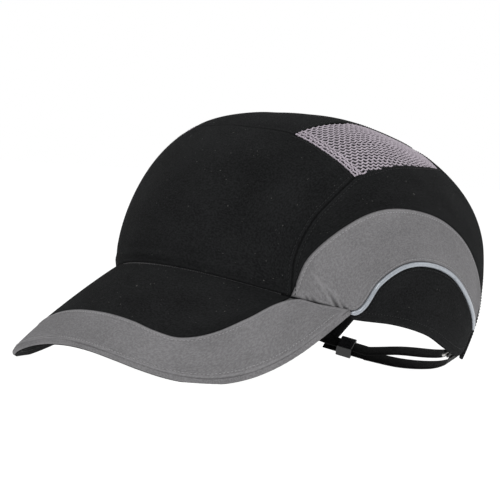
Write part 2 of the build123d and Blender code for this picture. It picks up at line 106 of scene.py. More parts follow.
# ---- Strap ----
webbing_width = 9.0
webbing_thickness = 1.1
slider_centre = (-43.5, 89.8, -54.8)
slider_along = (0.78, 0.57, -0.26)
slider_lean = 64.0
strap_layer = 1.65
straight_before = 9.0
straight_after = 11.0
tail_length = 13.0
ring_bar = (42.9, 93.7, -49.2)
ring_along = (0.64, -0.76, 0.12)
ring_lean = 60.0
ring_length = 8.6
strap_fold_radius = 2.2
tab_fold_radius = 1.45
strap_middle_y = 106.0
strap_upper_z = -55.2
strap_lower_z = -62.7

# ---- How the cap stands ----
stand_tilt = 4.7
stand_shift_y = 5.5
stand_lift = 56.6

# ---- Seams and relief of the sewn cover ----
seam_dip = 0.55
seam_reach = 0.95
row_dip = 0.12
row_inset = 2.1
piping_half = 1.25
mesh_row_slope = 0.06
up_side = np.array([-1.0, 1.0, 1.0])


class CapSizes(bpy.types.PropertyGroup):
    """Sizes of the fine detail."""

    stitch_pitch: FloatProperty(
        name="Stitch pitch", description="Distance from one stitch to the next",
        default=0.0021, min=0.001, unit="LENGTH", subtype="DISTANCE",
    )
    thread_radius: FloatProperty(
        name="Thread radius", description="Radius of the sewing thread",
        default=0.0002, min=0.0001, unit="LENGTH", subtype="DISTANCE",
    )
    mesh_cell: FloatProperty(
        name="Mesh cell", description="Length of one opening of the mesh",
        default=0.0037, min=0.002, unit="LENGTH", subtype="DISTANCE",
    )
    mesh_row: FloatProperty(
        name="Mesh row", description="Distance between rows of openings in the mesh",
        default=0.0021, min=0.001, unit="LENGTH", subtype="DISTANCE",
    )
    twill_thread: FloatProperty(
        name="Twill thread", description="Width of one thread of the twill",
        default=0.00042, min=0.0001, unit="LENGTH", subtype="DISTANCE",
    )


def colour(label, text, value):
    return FloatVectorProperty(
        name=label, description=text, default=(*value, 1.0), size=4, min=0.0, max=1.0, subtype="COLOR"
    )


class CapColours(bpy.types.PropertyGroup):
    """Colours of the cloths, yarns and hard parts."""

    black: colour("Black cloth", "Colour of the black twill", (0.0125, 0.013, 0.0135))
    grey: colour("Grey cloth", "Colour of the grey side and peak cloth", (0.21, 0.206, 0.212))
    mesh: colour("Mesh yarn", "Colour of the mesh yarn", (0.52, 0.455, 0.52))
    piping: colour("Piping", "Colour of the reflective piping", (0.38, 0.41, 0.45))
    grey_thread: colour("Grey thread", "Colour of the stitching on grey cloth", (0.34, 0.335, 0.34))
    black_thread: colour("Black thread", "Colour of the stitching on black cloth", (0.013, 0.013, 0.014))
    webbing: colour("Webbing", "Colour of the strap", (0.008, 0.008, 0.008))
    shell: colour("Shell", "Colour of the hard shell", (0.022, 0.024, 0.028))
    foam: colour("Foam", "Colour of the foam pads", (0.075, 0.078, 0.084))
    towelling: colour("Towelling", "Colour of the sweatband", (0.03, 0.031, 0.034))


def sizes():
    return bpy.context.scene.cap_sizes


def colours():
    return bpy.context.scene.cap_colours


# ---------------------------------------------------------------- crown surface
def length_of(vectors):
    return np.linalg.norm(vectors, axis=-1, keepdims=True)


def unit(vectors):
    vectors = np.asarray(vectors, float)
    return vectors / np.maximum(length_of(vectors), 1e-12)


def crown_level(points):
    """1 on the outer surface, less inside, more outside; grows in proportion along a ray."""
    tilt = radians(crown_tilt)
    x, y, z = points[..., 0], points[..., 1], points[..., 2]
    up = cos(tilt) * z - sin(tilt) * y
    back = cos(tilt) * y + sin(tilt) * z - crown_lean * up
    length = np.where(back < 0, crown_front, crown_rear)
    height = np.where(up > 0, crown_top, crown_low)
    forward = -back / (np.hypot(x, back) + 1e-9)
    sideways = (1 - forward**2) ** 2
    power = np.where(up > 0, end_power + sideways * (side_power + fore_power * forward), low_power)
    plan = (abs(x / crown_half_width) ** plan_power + abs(back / length) ** plan_power) ** (1 / plan_power)
    return (plan**power + abs(up / height) ** power) ** (1 / power)


def on_crown(points, depth=0.0):
    """The points of the outer surface on the rays through points, moved inward by depth."""
    points = np.asarray(points, float)
    scale = 1 / crown_level(points)[..., None] - np.asarray(depth, float)[..., None] / length_of(points)
    return points * scale


def crown_normal(points):
    step = 0.05
    grow = [crown_level(points + step * axis) - crown_level(points - step * axis) for axis in np.eye(3)]
    return unit(np.stack(grow, -1))


def placed(points):
    """Millimetres about the head opening to the frame's metres, as the cap stands."""
    tilt = radians(stand_tilt)
    x, y, z = points[..., 0], points[..., 1], points[..., 2]
    back = cos(tilt) * y - sin(tilt) * z + stand_shift_y
    up = sin(tilt) * y + cos(tilt) * z + stand_lift
    return np.stack([x, back, up], -1) / 1000


# ---------------------------------------------------------------- curves and patches
def curve(points):
    """A smooth curve through the points; the function takes 0 to 1 along its length."""
    points = np.array(points, float)
    knots = np.concatenate([[0.0], np.cumsum(length_of(np.diff(points, axis=0))[:, 0])])
    count = len(points)
    low = np.maximum(np.arange(count) - 1, 0)
    high = np.minimum(np.arange(count) + 1, count - 1)
    slopes = (points[high] - points[low]) / (knots[high] - knots[low])[:, None]

    def at(t):
        s = np.asarray(t, float) * knots[-1]
        i = np.clip(np.searchsorted(knots, s) - 1, 0, count - 2)
        step = knots[i + 1] - knots[i]
        w = (s - knots[i]) / step
        from_end = (w * w * (3 - 2 * w))[..., None]
        out_slope = ((w - 2 * w * w + w**3) * step)[..., None]
        in_slope = ((w**3 - w * w) * step)[..., None]
        run = points[i] * (1 - from_end) + points[i + 1] * from_end
        return run + slopes[i] * out_slope + slopes[i + 1] * in_slope

    return at


def beside(line, distance):
    """A curve on the crown that runs at a distance to the left of line, seen from outside."""

    def at(t):
        t = np.asarray(t, float)
        here = on_crown(line(t))
        ahead = on_crown(line(np.minimum(t + 0.01, 1.0)))
        behind = on_crown(line(np.maximum(t - 0.01, 0.0)))
        return here + unit(np.cross(here, ahead - behind)) * distance

    return at


def between(line, start, end):
    return lambda t: line(start + (end - start) * np.asarray(t, float))


def mirror_line(line):
    return lambda t: line(t) * up_side


def mirrored(points):
    return [(-x, y, z) for x, y, z in points]


def run_lengths(points):
    steps = length_of(np.diff(points, axis=0))[:, 0]
    return np.concatenate([[0.0], np.cumsum(steps)])


def curve_length(line):
    return run_lengths(on_crown(line(np.linspace(0, 1, 41))))[-1]


def joined(*lines):
    """One curve that follows several lines end to end, evenly by length."""
    lengths = np.array([curve_length(line) for line in lines])
    starts = np.concatenate([[0.0], np.cumsum(lengths)]) / lengths.sum()

    def at(t):
        t = np.asarray(t, float)
        i = np.clip(np.searchsorted(starts, t, side="right") - 1, 0, len(lines) - 1)
        local = (t - starts[i]) / (starts[i + 1] - starts[i])
        out = np.empty(t.shape + (3,))
        for k, line in enumerate(lines):
            out[i == k] = line(local[i == k])
        return out

    return at


def coons(bottom, top, left, right):
    """A four-sided patch: bottom and top run with u, left and right run with v."""
    corners = [bottom(0.0), bottom(1.0), top(0.0), top(1.0)]

    def at(u, v):
        u, v = np.broadcast_arrays(u, v)
        low, high, west, east = bottom(u), top(u), left(v), right(v)
        u = u[..., None]
        v = v[..., None]
        flat = (1 - u) * (1 - v) * corners[0] + u * (1 - v) * corners[1]
        flat = flat + (1 - u) * v * corners[2] + u * v * corners[3]
        return (1 - v) * low + v * high + (1 - u) * west + u * east - flat

    return at


def smooth_step(t):
    t = np.clip(t, 0.0, 1.0)
    return t * t * (3 - 2 * t)


def hump(value, middle, width):
    return np.exp(-(((value - middle) / width) ** 2))


# ---------------------------------------------------------------- peak surface
def peak_top(x, reach):
    share = (x / peak_station) ** 2
    fall = (peak_drop * share + peak_drop_end * share**2) * (1 + peak_drop_growth * reach / 100)
    fall = fall + peak_sag * (reach / 100) ** 2
    pitch = radians(peak_pitch)
    y = peak_root_y - reach * cos(pitch) + fall * sin(pitch)
    z = peak_root_z - reach * sin(pitch) - fall * cos(pitch)
    return np.stack([x * (1 + peak_flare * reach / 100), y, z], -1)


def peak_point(x, reach, drop=0.0):
    """Points of the peak: x across, reach forward along it, drop below its top face."""
    x, reach = np.broadcast_arrays(np.asarray(x, float), np.asarray(reach, float))
    across = peak_top(x + 0.5, reach) - peak_top(x - 0.5, reach)
    forward = peak_top(x, reach + 0.5) - peak_top(x, reach - 0.5)
    return peak_top(x, reach) + unit(np.cross(across, forward)) * np.asarray(drop, float)[..., None]


def find_zero(function, low, high):
    """Where a function that is negative at low and positive at high crosses zero."""
    for _ in range(40):
        middle = (low + high) / 2
        negative = function(middle) < 0
        low = np.where(negative, middle, low)
        high = np.where(negative, high, middle)
    return (low + high) / 2


def peak_root(x):
    """The reach at which the peak's top face meets the crown."""
    x = np.asarray(x, float)
    start = np.full(x.shape, peak_back - 6)
    return find_zero(lambda reach: crown_level(peak_point(x, reach)) - 1, start, start * 0 + 60)


def peak_rim(s, inset=0.0):
    """The peak's outline, s from -1 to 1, moved inward by inset, as x and reach."""

    def edge(s):
        swing = np.sin(pi * s / 2)
        share = np.maximum(1 - abs(swing) ** peak_side_power, 0.0)
        return peak_half_width * swing, peak_back + peak_length * share ** (1 / peak_nose_power)

    s = np.asarray(s, float)
    x, reach = edge(s)
    ahead = edge(np.minimum(s + 0.004, 1.0))
    behind = edge(np.maximum(s - 0.004, -1.0))
    step_x = ahead[0] - behind[0]
    step_reach = ahead[1] - behind[1]
    size = np.hypot(step_x, step_reach)
    return x + inset * step_reach / size, reach - inset * step_x / size


def peak_rim_end(inset, margin=3.0):
    """The s at which the outline, moved inward by inset, comes within margin of the crown."""

    def spare(s):
        x, reach = peak_rim(s, inset)
        return margin - (reach - peak_root(x))

    return find_zero(spare, np.array(0.7), np.array(0.995))


def colour_line(x):
    """The reach of the seam between the black middle and the grey band of the peak."""
    share = (np.asarray(x, float) / peak_station) ** 2
    return band_front + sum(term * share ** (i + 1) for i, term in enumerate(band_terms))


corner_x = float(find_zero(lambda x: peak_root(x) - colour_line(x), np.array(55.0), np.array(88.0)))
root_end_x = float(peak_rim(peak_rim_end(0.0))[0])


def root_on_crown(x):
    return on_crown(peak_point(x, peak_root(x)))


# ---------------------------------------------------------------- seam lines, wearer's left
front_corner = root_on_crown(corner_x)
peak_end = root_on_crown(root_end_x)
mesh_front_low = (78, -13, 53.5)
mesh_front_high = (44, -26, 76)
mesh_rear_low = (48, 74, 53)
mesh_rear_high = (25, 78, 62)
arch_points = [(54, 90, -53.5), (53, 97, -48), (50, 103, -40), (45, 111, -27), (34, 119, -15), (18, 126, -10)]
arch_line = mirrored(arch_points) + [(0, 129, -8.5)] + arch_points[::-1]
arch_edge = curve(arch_line)
arch_runs = run_lengths(np.array(arch_line, float))
grey_share, piping_share = (
    arch_runs[arch_line.index(p)] / arch_runs[-1] for p in (arch_points[3], arch_points[2])
)
arch_inner = beside(arch_edge, -binding_width)
grey_end = arch_inner(grey_share)
piping_end = arch_inner(piping_share)
lobe_end = arch_inner(0.985)
piping_start = peak_end + (-0.6, -2.6, -1.9)
rim_start = peak_end + (-0.8, -2.2, -5.4)

front_seam = curve([front_corner, (73, -50, 13), (76, -40, 32), (78, -28, 43), mesh_front_low])
mesh_front = curve([mesh_front_low, (62, -22, 67), mesh_front_high])
mesh_rear = curve([mesh_rear_low, mesh_rear_high])
mesh_low = curve([mesh_front_low, (77, 10, 58), (68, 43, 57), mesh_rear_low])
mesh_high = curve([mesh_front_high, (45, 5, 81), (38, 45, 75), mesh_rear_high])
front_over = curve([(-44, -26, 76), (0, -33, 84), mesh_front_high])
rear_over = curve([(-25, 78, 62), (0, 80, 66), mesh_rear_high])
rear_seam = curve([grey_end, (57, 102, 5), (54, 90, 33), mesh_rear_low])
grey_top = curve([
    front_corner, (77, -44, 13), (84, -19, 31), (85, 6, 36.5), (81, 41, 31),
    (75, 68, 19), (66, 89, 0), grey_end,
])
piping_line = curve([
    piping_start, (85.3, -17.2, -17.2), (86, -12.9, -14.0), (88, -4, -3), (88, 14, 5), (85, 34, 5),
    (80, 56, -2), (71, 76, -16), piping_end,
])
rim_curve = curve([rim_start, (86, 8, -26), (81, 37, -34), (72, 59, -43.5), (62, 79, -50.5), lobe_end])


def back_along(line):
    return lambda t: line(1 - np.asarray(t, float))


# ---------------------------------------------------------------- relief of the cover
def seam_fall(edge):
    """How far the cloth dips towards a seam, by its distance from the seam."""
    return seam_dip * np.exp(-((edge / seam_reach) ** 1.5)) + row_dip * hump(edge, row_inset, 0.6)


def cloth_waves(points):
    """Slight unevenness of cloth over a shell."""
    draws = np.random.default_rng(7)
    total = np.zeros(points.shape[:-1])
    for _ in range(7):
        aim = draws.normal(size=3)
        aim = aim / np.linalg.norm(aim)
        length = draws.uniform(28, 70)
        total = total + np.sin(points @ aim * 2 * pi / length + draws.uniform(0, 2 * pi)) * length / 70
    return total * 0.09


# ---------------------------------------------------------------- meshes
def marks(length, spacing):
    """Shares from 0 to 1 along a side, closer together near both ends."""
    fine = np.array([0, 0.15, 0.35, 0.6, 0.9, 1.25, 1.65, 2.1, 2.6, 3.2, 4.0])
    fine = fine * min(1.0, length * 0.4 / fine[-1]) / length
    count = max(2, ceil(length * (1 - 2 * fine[-1]) / spacing))
    middle = np.linspace(fine[-1], 1 - fine[-1], count + 1)
    return np.concatenate([fine[:-1], middle, 1 - fine[-2::-1]])


def slab(outer, inner):
    """Points and faces of a closed sheet between two grids of points."""
    count_u, count_v = outer.shape[:2]
    points = np.concatenate([outer.reshape(-1, 3), inner.reshape(-1, 3)])
    index = np.arange(count_u * count_v).reshape(count_u, count_v)
    top = np.stack([index[:-1, :-1], index[1:, :-1], index[1:, 1:], index[:-1, 1:]], -1).reshape(-1, 4)
    low = top[:, ::-1] + count_u * count_v
    rim = np.concatenate([index[:, 0], index[-1, 1:], index[-2::-1, -1], index[0, -2:0:-1]])
    ahead = np.roll(rim, -1)
    wall = np.stack([ahead, rim, rim + count_u * count_v, ahead + count_u * count_v], -1)
    return points, np.concatenate([top, low, wall]).tolist()


def tubes(rings):
    """Points and faces of closed tubes; rings is tubes x stations x sides x 3."""
    count, stations, sides = rings.shape[:3]
    index = np.arange(count * stations * sides).reshape(count, stations, sides)
    turned = np.roll(index, -1, axis=2)
    quads = np.stack([index[:, :-1], index[:, 1:], turned[:, 1:], turned[:, :-1]], -1).reshape(-1, 4)
    ends = np.concatenate([index[:, 0], index[:, -1, ::-1]])
    return rings.reshape(-1, 3), quads.tolist() + ends.tolist()


def signed_volume(points, faces):
    total = 0.0
    by_size = {}
    for face in faces:
        by_size.setdefault(len(face), []).append(face)
    for size, group in by_size.items():
        corners = points[np.array(group)]
        for k in range(1, size - 1):
            total += np.einsum("ij,ij->", corners[:, 0], np.cross(corners[:, k], corners[:, k + 1]))
    return total


def new_piece(name, points, faces, finish, slot, nodes=(), place=None, body="cap"):
    """A piece of the cap from millimetre points, with its cloth coordinates and finish."""
    spots = placed(points)
    if signed_volume(spots, faces) < 0:
        faces = [face[::-1] for face in faces]
    mesh = bpy.data.meshes.new(name)
    mesh.from_pydata(spots.tolist(), [], faces)
    mesh.polygons.foreach_set("use_smooth", np.ones(len(faces), bool))
    spread = points if place is None else place
    held = mesh.attributes.new("cloth_place", "FLOAT_VECTOR", "POINT")
    held.data.foreach_set("vector", (np.asarray(spread, np.float32) / 1000).ravel())
    mesh.materials.append(finish)
    mesh.update()
    piece = bpy.data.objects.new(name, mesh)
    bpy.context.scene.collection.objects.link(piece)
    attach(piece, body)
    if nodes:
        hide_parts(*nodes)
    return piece


def both_sides(name, points, faces, finish, slot, node=None, place=None):
    """The same piece for the wearer's left and, mirrored, for the right."""
    made = []
    for side, sign in (("left", 1.0), ("right", -1.0)):
        nodes = (f"{node}_{side}",) if node else ()
        turned = points * np.array([sign, 1.0, 1.0])
        made.append(new_piece(f"{name}_{side}", turned, faces, finish, slot, nodes, place))
    return made


def crown_sheet(surface, outer, inner, spacing=1.3, gap=seam_gap, shade=None):
    """A sheet on the crown; outer and inner give depths from the points and edge distances."""
    steps = np.linspace(0, 1, 41)
    width = run_lengths(on_crown(surface(steps, 0.5)))[-1]
    height = run_lengths(on_crown(surface(0.5, steps)))[-1]
    u = gap / width + marks(width, spacing) * (1 - 2 * gap / width)
    v = gap / height + marks(height, spacing) * (1 - 2 * gap / height)
    rest = on_crown(surface(u[:, None], v[None, :]))
    run_u = np.concatenate([rest[:1, :, 0] * 0, np.cumsum(length_of(np.diff(rest, axis=0))[..., 0], 0)])
    run_v = np.concatenate([rest[:, :1, 0] * 0, np.cumsum(length_of(np.diff(rest, axis=1))[..., 0], 1)], 1)
    sides = (run_u, run_u[-1:] - run_u, run_v, run_v[:, -1:] - run_v)
    edge = np.minimum.reduce(sides)
    top = outer(rest, sides, edge)
    under = np.maximum(inner(rest, sides, edge), top + 0.2)
    points, faces = slab(on_crown(rest, top), on_crown(rest, under))
    # The third cloth coordinate is the distance from the nearest seam, or from a crease bottom when shade
    # gives one; the seam finish paints shade close to it and, a little further off, a lighter band that is
    # partly painted highlight.
    shaded = shade(sides, edge) if shade else edge
    place = np.stack([run_u - run_u[-1:] / 2, run_v - run_v[:, -1:] / 2, shaded], -1)
    return points, faces, np.concatenate([place.reshape(-1, 3)] * 2)


def cover_panel(surface, extra=None, spacing=1.3, flat_side=None, shade=None):
    """A panel of the cover with rolled edges; flat_side is a side pressed flat over the top."""

    def outer(rest, sides, edge):
        if flat_side is not None:
            flat = 12 * smooth_step((44 - abs(rest[..., 0])) / 5)
            pressed = [run + flat * (k == flat_side) for k, run in enumerate(sides)]
            edge = np.minimum.reduce(pressed)
        depth = seam_fall(edge) + cloth_waves(rest)
        return depth + extra(rest, sides) if extra else depth

    under = lambda rest, sides, edge: np.full(edge.shape, cloth)
    return crown_sheet(surface, outer, under, spacing, shade=shade)


def section_run(line, section, count, taper=0.0):
    """Rings along a line on the crown; section is a list of offset across and depth."""
    t = np.linspace(0, 1, count)
    ends = 1 - (1 - np.minimum(1, np.minimum(t, 1 - t) * count / 3)) * taper
    middle = np.mean(section, axis=0)
    rings = []
    for across, depth in section:
        offset = middle[0] + (across - middle[0]) * ends
        sunk = middle[1] + (depth - middle[1]) * ends
        rings.append(on_crown(beside(line, offset[:, None])(t), sunk))
    return np.stack(rings, 1)[None]


def ring_place(rings):
    """Cloth coordinates for rings: along the run, round the section, and no seam distance."""
    along = run_lengths(rings[0].mean(1))[:, None] + np.zeros(rings.shape[2])
    round_it = run_lengths(rings[0, rings.shape[1] // 2])[None, :] + np.zeros((rings.shape[1], 1))
    return np.stack([along, round_it, along * 0 + 5], -1).reshape(-1, 3)


def frames(points, normals):
    """Unit vectors along, across and out of a run of points."""
    along = unit(np.gradient(points, axis=-2))
    across = unit(np.cross(normals, along))
    return along, across, np.cross(along, across)


def yarns(points, normals, half_width, half_height, sides=6):
    """Rings of flat yarns; points and normals are yarns x stations x 3."""
    _, across, out = frames(points, normals)
    turns = 2 * pi * np.arange(sides) / sides
    ring = across[..., None, :] * (np.cos(turns) * half_width)[:, None]
    ring = ring + out[..., None, :] * (np.sin(turns) * half_height)[:, None]
    return points[..., None, :] + ring


def stitches(points, normals, pitch=None):
    """Rings of short stitches that dive into the cloth, along a run of points."""
    pitch = pitch or sizes().stitch_pitch * 1000
    radius = sizes().thread_radius * 1000
    runs = run_lengths(points)
    count = max(1, int(runs[-1] / pitch))
    starts = np.arange(count) * runs[-1] / count
    share = np.linspace(0, 1, 7)
    spots = starts[:, None] + pitch * (0.14 + 0.72 * share)
    spots = np.minimum(spots, runs[-1])
    centre = np.stack([np.interp(spots, runs, points[:, k]) for k in range(3)], -1)
    out = unit(np.stack([np.interp(spots, runs, normals[:, k]) for k in range(3)], -1))
    lift = radius * (2.3 * np.sqrt(np.maximum(np.sin(pi * share), 0)) - 1.6)
    centre = centre + out * lift[:, None]
    size = radius * (0.7 + 0.3 * np.sin(pi * share))
    _, across, out = frames(centre, out)
    turns = 2 * pi * np.arange(6) / 6
    ring = across[..., None, :] * np.cos(turns)[:, None] + out[..., None, :] * np.sin(turns)[:, None]
    return centre[..., None, :] + ring * size[:, None, None]


def stitch_place(rings):
    """Coordinates along and round each stitch, for the twist of its thread."""
    count, stations, sides = rings.shape[:3]
    pitch = sizes().stitch_pitch * 1000
    along = np.broadcast_to(np.linspace(0, pitch, stations)[None, :, None], (count, stations, sides))
    turn = np.broadcast_to(np.arange(sides)[None, None, :] * 0.2, (count, stations, sides))
    number = np.broadcast_to(np.arange(count)[:, None, None] * 3.0, (count, stations, sides))
    return np.stack([along, turn, number], -1).reshape(-1, 3)


def row_on_crown(line, side, depth=None):
    """A row of stitches on the cover beside a line, as rings."""
    steps = np.linspace(0.004, 0.996, max(60, int(curve_length(line))))
    rest = on_crown(beside(line, side)(steps))
    sunk = seam_fall(np.full(len(steps), abs(side))) if depth is None else depth
    return stitches(on_crown(rest, sunk + cloth_waves(rest)), crown_normal(rest))


def sew(name, rows, finish, slot, mirror=True):
    rings = np.concatenate(rows)
    points, faces = tubes(rings)
    place = stitch_place(rings)
    if mirror:
        return both_sides(name, points, faces, finish, slot, place=place)
    return [new_piece(name, points, faces, finish, slot, place=place)]


# ---------------------------------------------------------------- shader wiring
class Wiring:
    """Adds nodes to one node tree and joins them."""

    def __init__(self, tree):
        self.tree = tree

    def node(self, kind, inputs=None, **settings):
        made = self.tree.nodes.new("ShaderNode" + kind)
        for key, value in settings.items():
            setattr(made, key, value)
        self.feed(made, inputs or {})
        return made

    def feed(self, made, inputs):
        for key, value in inputs.items():
            if isinstance(value, bpy.types.NodeSocket):
                self.tree.links.new(value, made.inputs[key])
            else:
                made.inputs[key].default_value = value

    def maths(self, operation, *values):
        return self.node("Math", dict(enumerate(values)), operation=operation).outputs[0]

    def group(self, name, inputs):
        made = self.tree.nodes.new("ShaderNodeGroup")
        made.node_tree = bpy.data.node_groups[name]
        self.feed(made, inputs)
        return made.outputs

    def blend(self, factor, first, second):
        made = self.node("Mix", {0: factor, 6: first, 7: second}, data_type="RGBA")
        return made.outputs[2]

    def noise(self, place, scale, detail=2.0):
        return self.node("TexNoise", {"Vector": place, "Scale": scale, "Detail": detail}).outputs["Fac"]

    def ramp(self, value, low, high):
        made = self.node("MapRange", {"Value": value, "From Min": low, "From Max": high})
        made.interpolation_type = "SMOOTHSTEP"
        return made.outputs["Result"]


def new_group(name, inputs, outputs):
    """An empty shader node group with named sockets; returns its wiring, inputs and outputs."""
    tree = bpy.data.node_groups.new(name, "ShaderNodeTree")
    for label, kind, value in inputs:
        socket = tree.interface.new_socket(name=label, in_out="INPUT", socket_type="NodeSocket" + kind)
        if value is not None:
            socket.default_value = value
    for label, kind in outputs:
        tree.interface.new_socket(name=label, in_out="OUTPUT", socket_type="NodeSocket" + kind)
    start = tree.nodes.new("NodeGroupInput")
    end = tree.nodes.new("NodeGroupOutput")
    return Wiring(tree), start.outputs, end


def weave_group():
    """Threads over and under each other: plain weave repeats in 2, twill in 3."""
    inputs = [("Place", "Vector", None), ("Thread", "Float", 0.0004), ("Repeat", "Float", 3.0)]
    wire, given, end = new_group("Weave", inputs, [("Height", "Float"), ("Shade", "Float")])
    per_metre = wire.maths("DIVIDE", 1.0, given["Thread"])
    scaled = wire.node("VectorMath", {0: given["Place"], "Scale": per_metre}, operation="SCALE")
    parts = wire.node("SeparateXYZ", {0: scaled.outputs[0]}).outputs
    warp = wire.maths("ABSOLUTE", wire.maths("SINE", wire.maths("MULTIPLY", parts[0], pi)))
    weft = wire.maths("ABSOLUTE", wire.maths("SINE", wire.maths("MULTIPLY", parts[1], pi)))
    cell = wire.maths("ADD", wire.maths("FLOOR", parts[0]), wire.maths("FLOOR", parts[1]))
    turn = wire.maths("WRAP", cell, given["Repeat"], 0.0)
    over = wire.maths("LESS_THAN", turn, 0.9)
    raised = wire.maths("MULTIPLY", over, weft)
    lower = wire.maths("MULTIPLY", wire.maths("SUBTRACT", 1.0, over), warp)
    height = wire.maths("ADD", raised, wire.maths("MULTIPLY", lower, 0.8))
    fibre = wire.noise(scaled.outputs[0], 1.7, 3.0)
    wire.feed(end, {"Height": wire.maths("ADD", height, wire.maths("MULTIPLY", fibre, 0.35))})
    # Shade: mask for painted shade, high on the raised threads and low in the hollows
    wire.feed(end, {"Shade": wire.maths("MULTIPLY", height, fibre)})


def mottle_group():
    """Uneven dye and wear: large soft patches and a fine grain."""
    inputs = [
        ("Place", "Vector", None), ("Dark", "Color", (0, 0, 0, 1)), ("Light", "Color", (1, 1, 1, 1)),
        ("Grain", "Float", 900.0),
    ]
    wire, given, end = new_group("Uneven dye", inputs, [("Color", "Color")])
    patches = wire.ramp(wire.noise(given["Place"], 28.0, 3.0), 0.25, 0.75)
    grain = wire.ramp(wire.noise(given["Place"], given["Grain"], 3.0), 0.3, 0.72)
    mixed = wire.maths("ADD", wire.maths("MULTIPLY", patches, 0.35), wire.maths("MULTIPLY", grain, 0.65))
    wire.feed(end, {"Color": wire.blend(mixed, given["Dark"], given["Light"])})


def lint_group():
    """Specks and short fibres caught on dark cloth, each with its own brightness."""
    inputs = [("Place", "Vector", None), ("Amount", "Float", 0.3)]
    wire, given, end = new_group("Lint", inputs, [("Mask", "Float")])
    sway = wire.node("TexNoise", {"Vector": given["Place"], "Scale": 160.0, "Detail": 1.0})
    bent = wire.node("VectorMath", {0: sway.outputs["Color"], "Scale": 0.004}, operation="SCALE")
    moved = wire.node("VectorMath", {0: given["Place"], 1: bent.outputs[0]}, operation="ADD")
    total = None
    for per_metre, stretch, radius, share in ((430.0, 0.6, 0.15, 1.0), (180.0, 0.12, 0.075, 1.6)):
        long_way = wire.node("Mapping", {"Vector": moved.outputs[0], "Scale": (1.0, stretch, 1.0)})
        cells = wire.node("TexVoronoi", {"Vector": long_way.outputs[0], "Scale": per_metre})
        speck = wire.maths("SUBTRACT", 1.0, wire.ramp(cells.outputs["Distance"], radius * 0.4, radius))
        draw = wire.node("SeparateColor", {0: cells.outputs["Color"]}).outputs
        kept = wire.maths("LESS_THAN", draw[0], wire.maths("MULTIPLY", given["Amount"], share))
        mask = wire.maths("MULTIPLY", wire.maths("MULTIPLY", speck, kept), draw[1])
        total = wire.maths("MAXIMUM", total, mask) if total else mask
    wire.feed(end, {"Mask": total})


def seam_group():
    """Masks by distance from a seam: painted shade in the groove, and a lighter band on the fold beside it,
    partly rubbed wear and partly painted highlight.
    """
    outputs = [("Groove shade", "Float"), ("Rub and highlight", "Float")]
    wire, given, end = new_group("Seam shade and rub", [("Place", "Vector", None)], outputs)
    edge = wire.node("SeparateXYZ", {0: given["Place"]}).outputs[2]
    # painted shade: dark within 0.8 mm of the seam
    wire.feed(end, {"Groove shade": wire.maths("SUBTRACT", 1.0, wire.ramp(edge, 0.0001, 0.0008))})
    # lighter band 0.6 to 2.4 mm from the seam: partly rubbed wear, partly painted highlight
    near = wire.ramp(edge, 0.0006, 0.0012)
    far = wire.maths("SUBTRACT", 1.0, wire.ramp(edge, 0.0014, 0.0024))
    patchy = wire.noise(given["Place"], 220.0)
    wire.feed(end, {"Rub and highlight": wire.maths("MULTIPLY", wire.maths("MULTIPLY", near, far), patchy)})


def grain_group():
    """Fine leather-like grain and light scuffs of moulded plastic."""
    inputs = [("Place", "Vector", None), ("Scale", "Float", 1400.0)]
    wire, given, end = new_group("Moulded grain", inputs, [("Height", "Float"), ("Scuff", "Float")])
    cells = wire.node("TexVoronoi", {"Vector": given["Place"], "Scale": given["Scale"]})
    wire.feed(end, {"Height": cells.outputs["Distance"]})
    streaks = wire.node("Mapping", {"Vector": given["Place"], "Scale": (1.0, 6.0, 1.0)})
    wire.feed(end, {"Scuff": wire.ramp(wire.noise(streaks.outputs[0], 90.0, 6.0), 0.55, 0.75)})


finish_ending = "_finish"


def new_finish(name):
    """A material with only its output and a Principled shader; returns it, its wiring and shader."""
    finish = bpy.data.materials.new(name + finish_ending)
    finish.use_nodes = True
    tree = finish.node_tree
    tree.nodes.clear()
    wire = Wiring(tree)
    shader = wire.node("BsdfPrincipled")
    out = wire.node("OutputMaterial", {"Surface": shader.outputs[0]})
    out.is_active_output = True
    return finish, wire, shader


def cloth_place(wire):
    return wire.node("Attribute", attribute_name="cloth_place").outputs["Vector"]


def tint(value, factor):
    return (value[0] * factor, value[1] * factor, value[2] * factor, 1.0)


def cloth_finish(name, base, thread, repeat, lint, sheen, bump=0.0002, spread=0.3):
    """Woven cloth with uneven dye, lint, painted shade in the grooves of its seams and creases, and a lighter
    band beside them that is partly rubbed wear and partly painted highlight.
    """
    finish, wire, shader = new_finish(name)
    place = cloth_place(wire)
    weave = wire.group("Weave", {"Place": place, "Thread": thread, "Repeat": repeat})
    dye = wire.group("Uneven dye", {
        "Place": place, "Dark": tint(base, 1 - spread), "Light": tint(base, 1 + spread), "Grain": 850.0,
    })["Color"]
    # painted shade of the weave: raised threads lighter, hollows between them darker
    threads = wire.blend(wire.ramp(weave["Shade"], 0.1, 0.6), tint(base, 0.6), tint(base, 1.4))
    seen = wire.blend(0.4, dye, threads)
    seam = wire.group("Seam shade and rub", {"Place": place})
    # painted shade in the seam and crease grooves
    seen = wire.blend(wire.maths("MULTIPLY", seam["Groove shade"], 0.6), seen, tint(base, 0.3))
    # lighter band beside the grooves: partly rubbed wear, partly painted highlight
    seen = wire.blend(wire.maths("MULTIPLY", seam["Rub and highlight"], 0.35), seen, tint(base, 1.9))
    if lint:
        specks = wire.group("Lint", {"Place": place, "Amount": lint})["Mask"]
        seen = wire.blend(wire.maths("MULTIPLY", specks, 0.8), seen, (0.17, 0.17, 0.16, 1.0))
    height = wire.node("Bump", {"Height": weave["Height"], "Strength": 0.6, "Distance": bump})
    wire.feed(shader, {
        "Base Color": seen, "Roughness": 0.95, "Normal": height.outputs[0],
        "Sheen Weight": sheen, "Sheen Roughness": 0.6, "Specular IOR Level": 0.06,
    })
    return finish


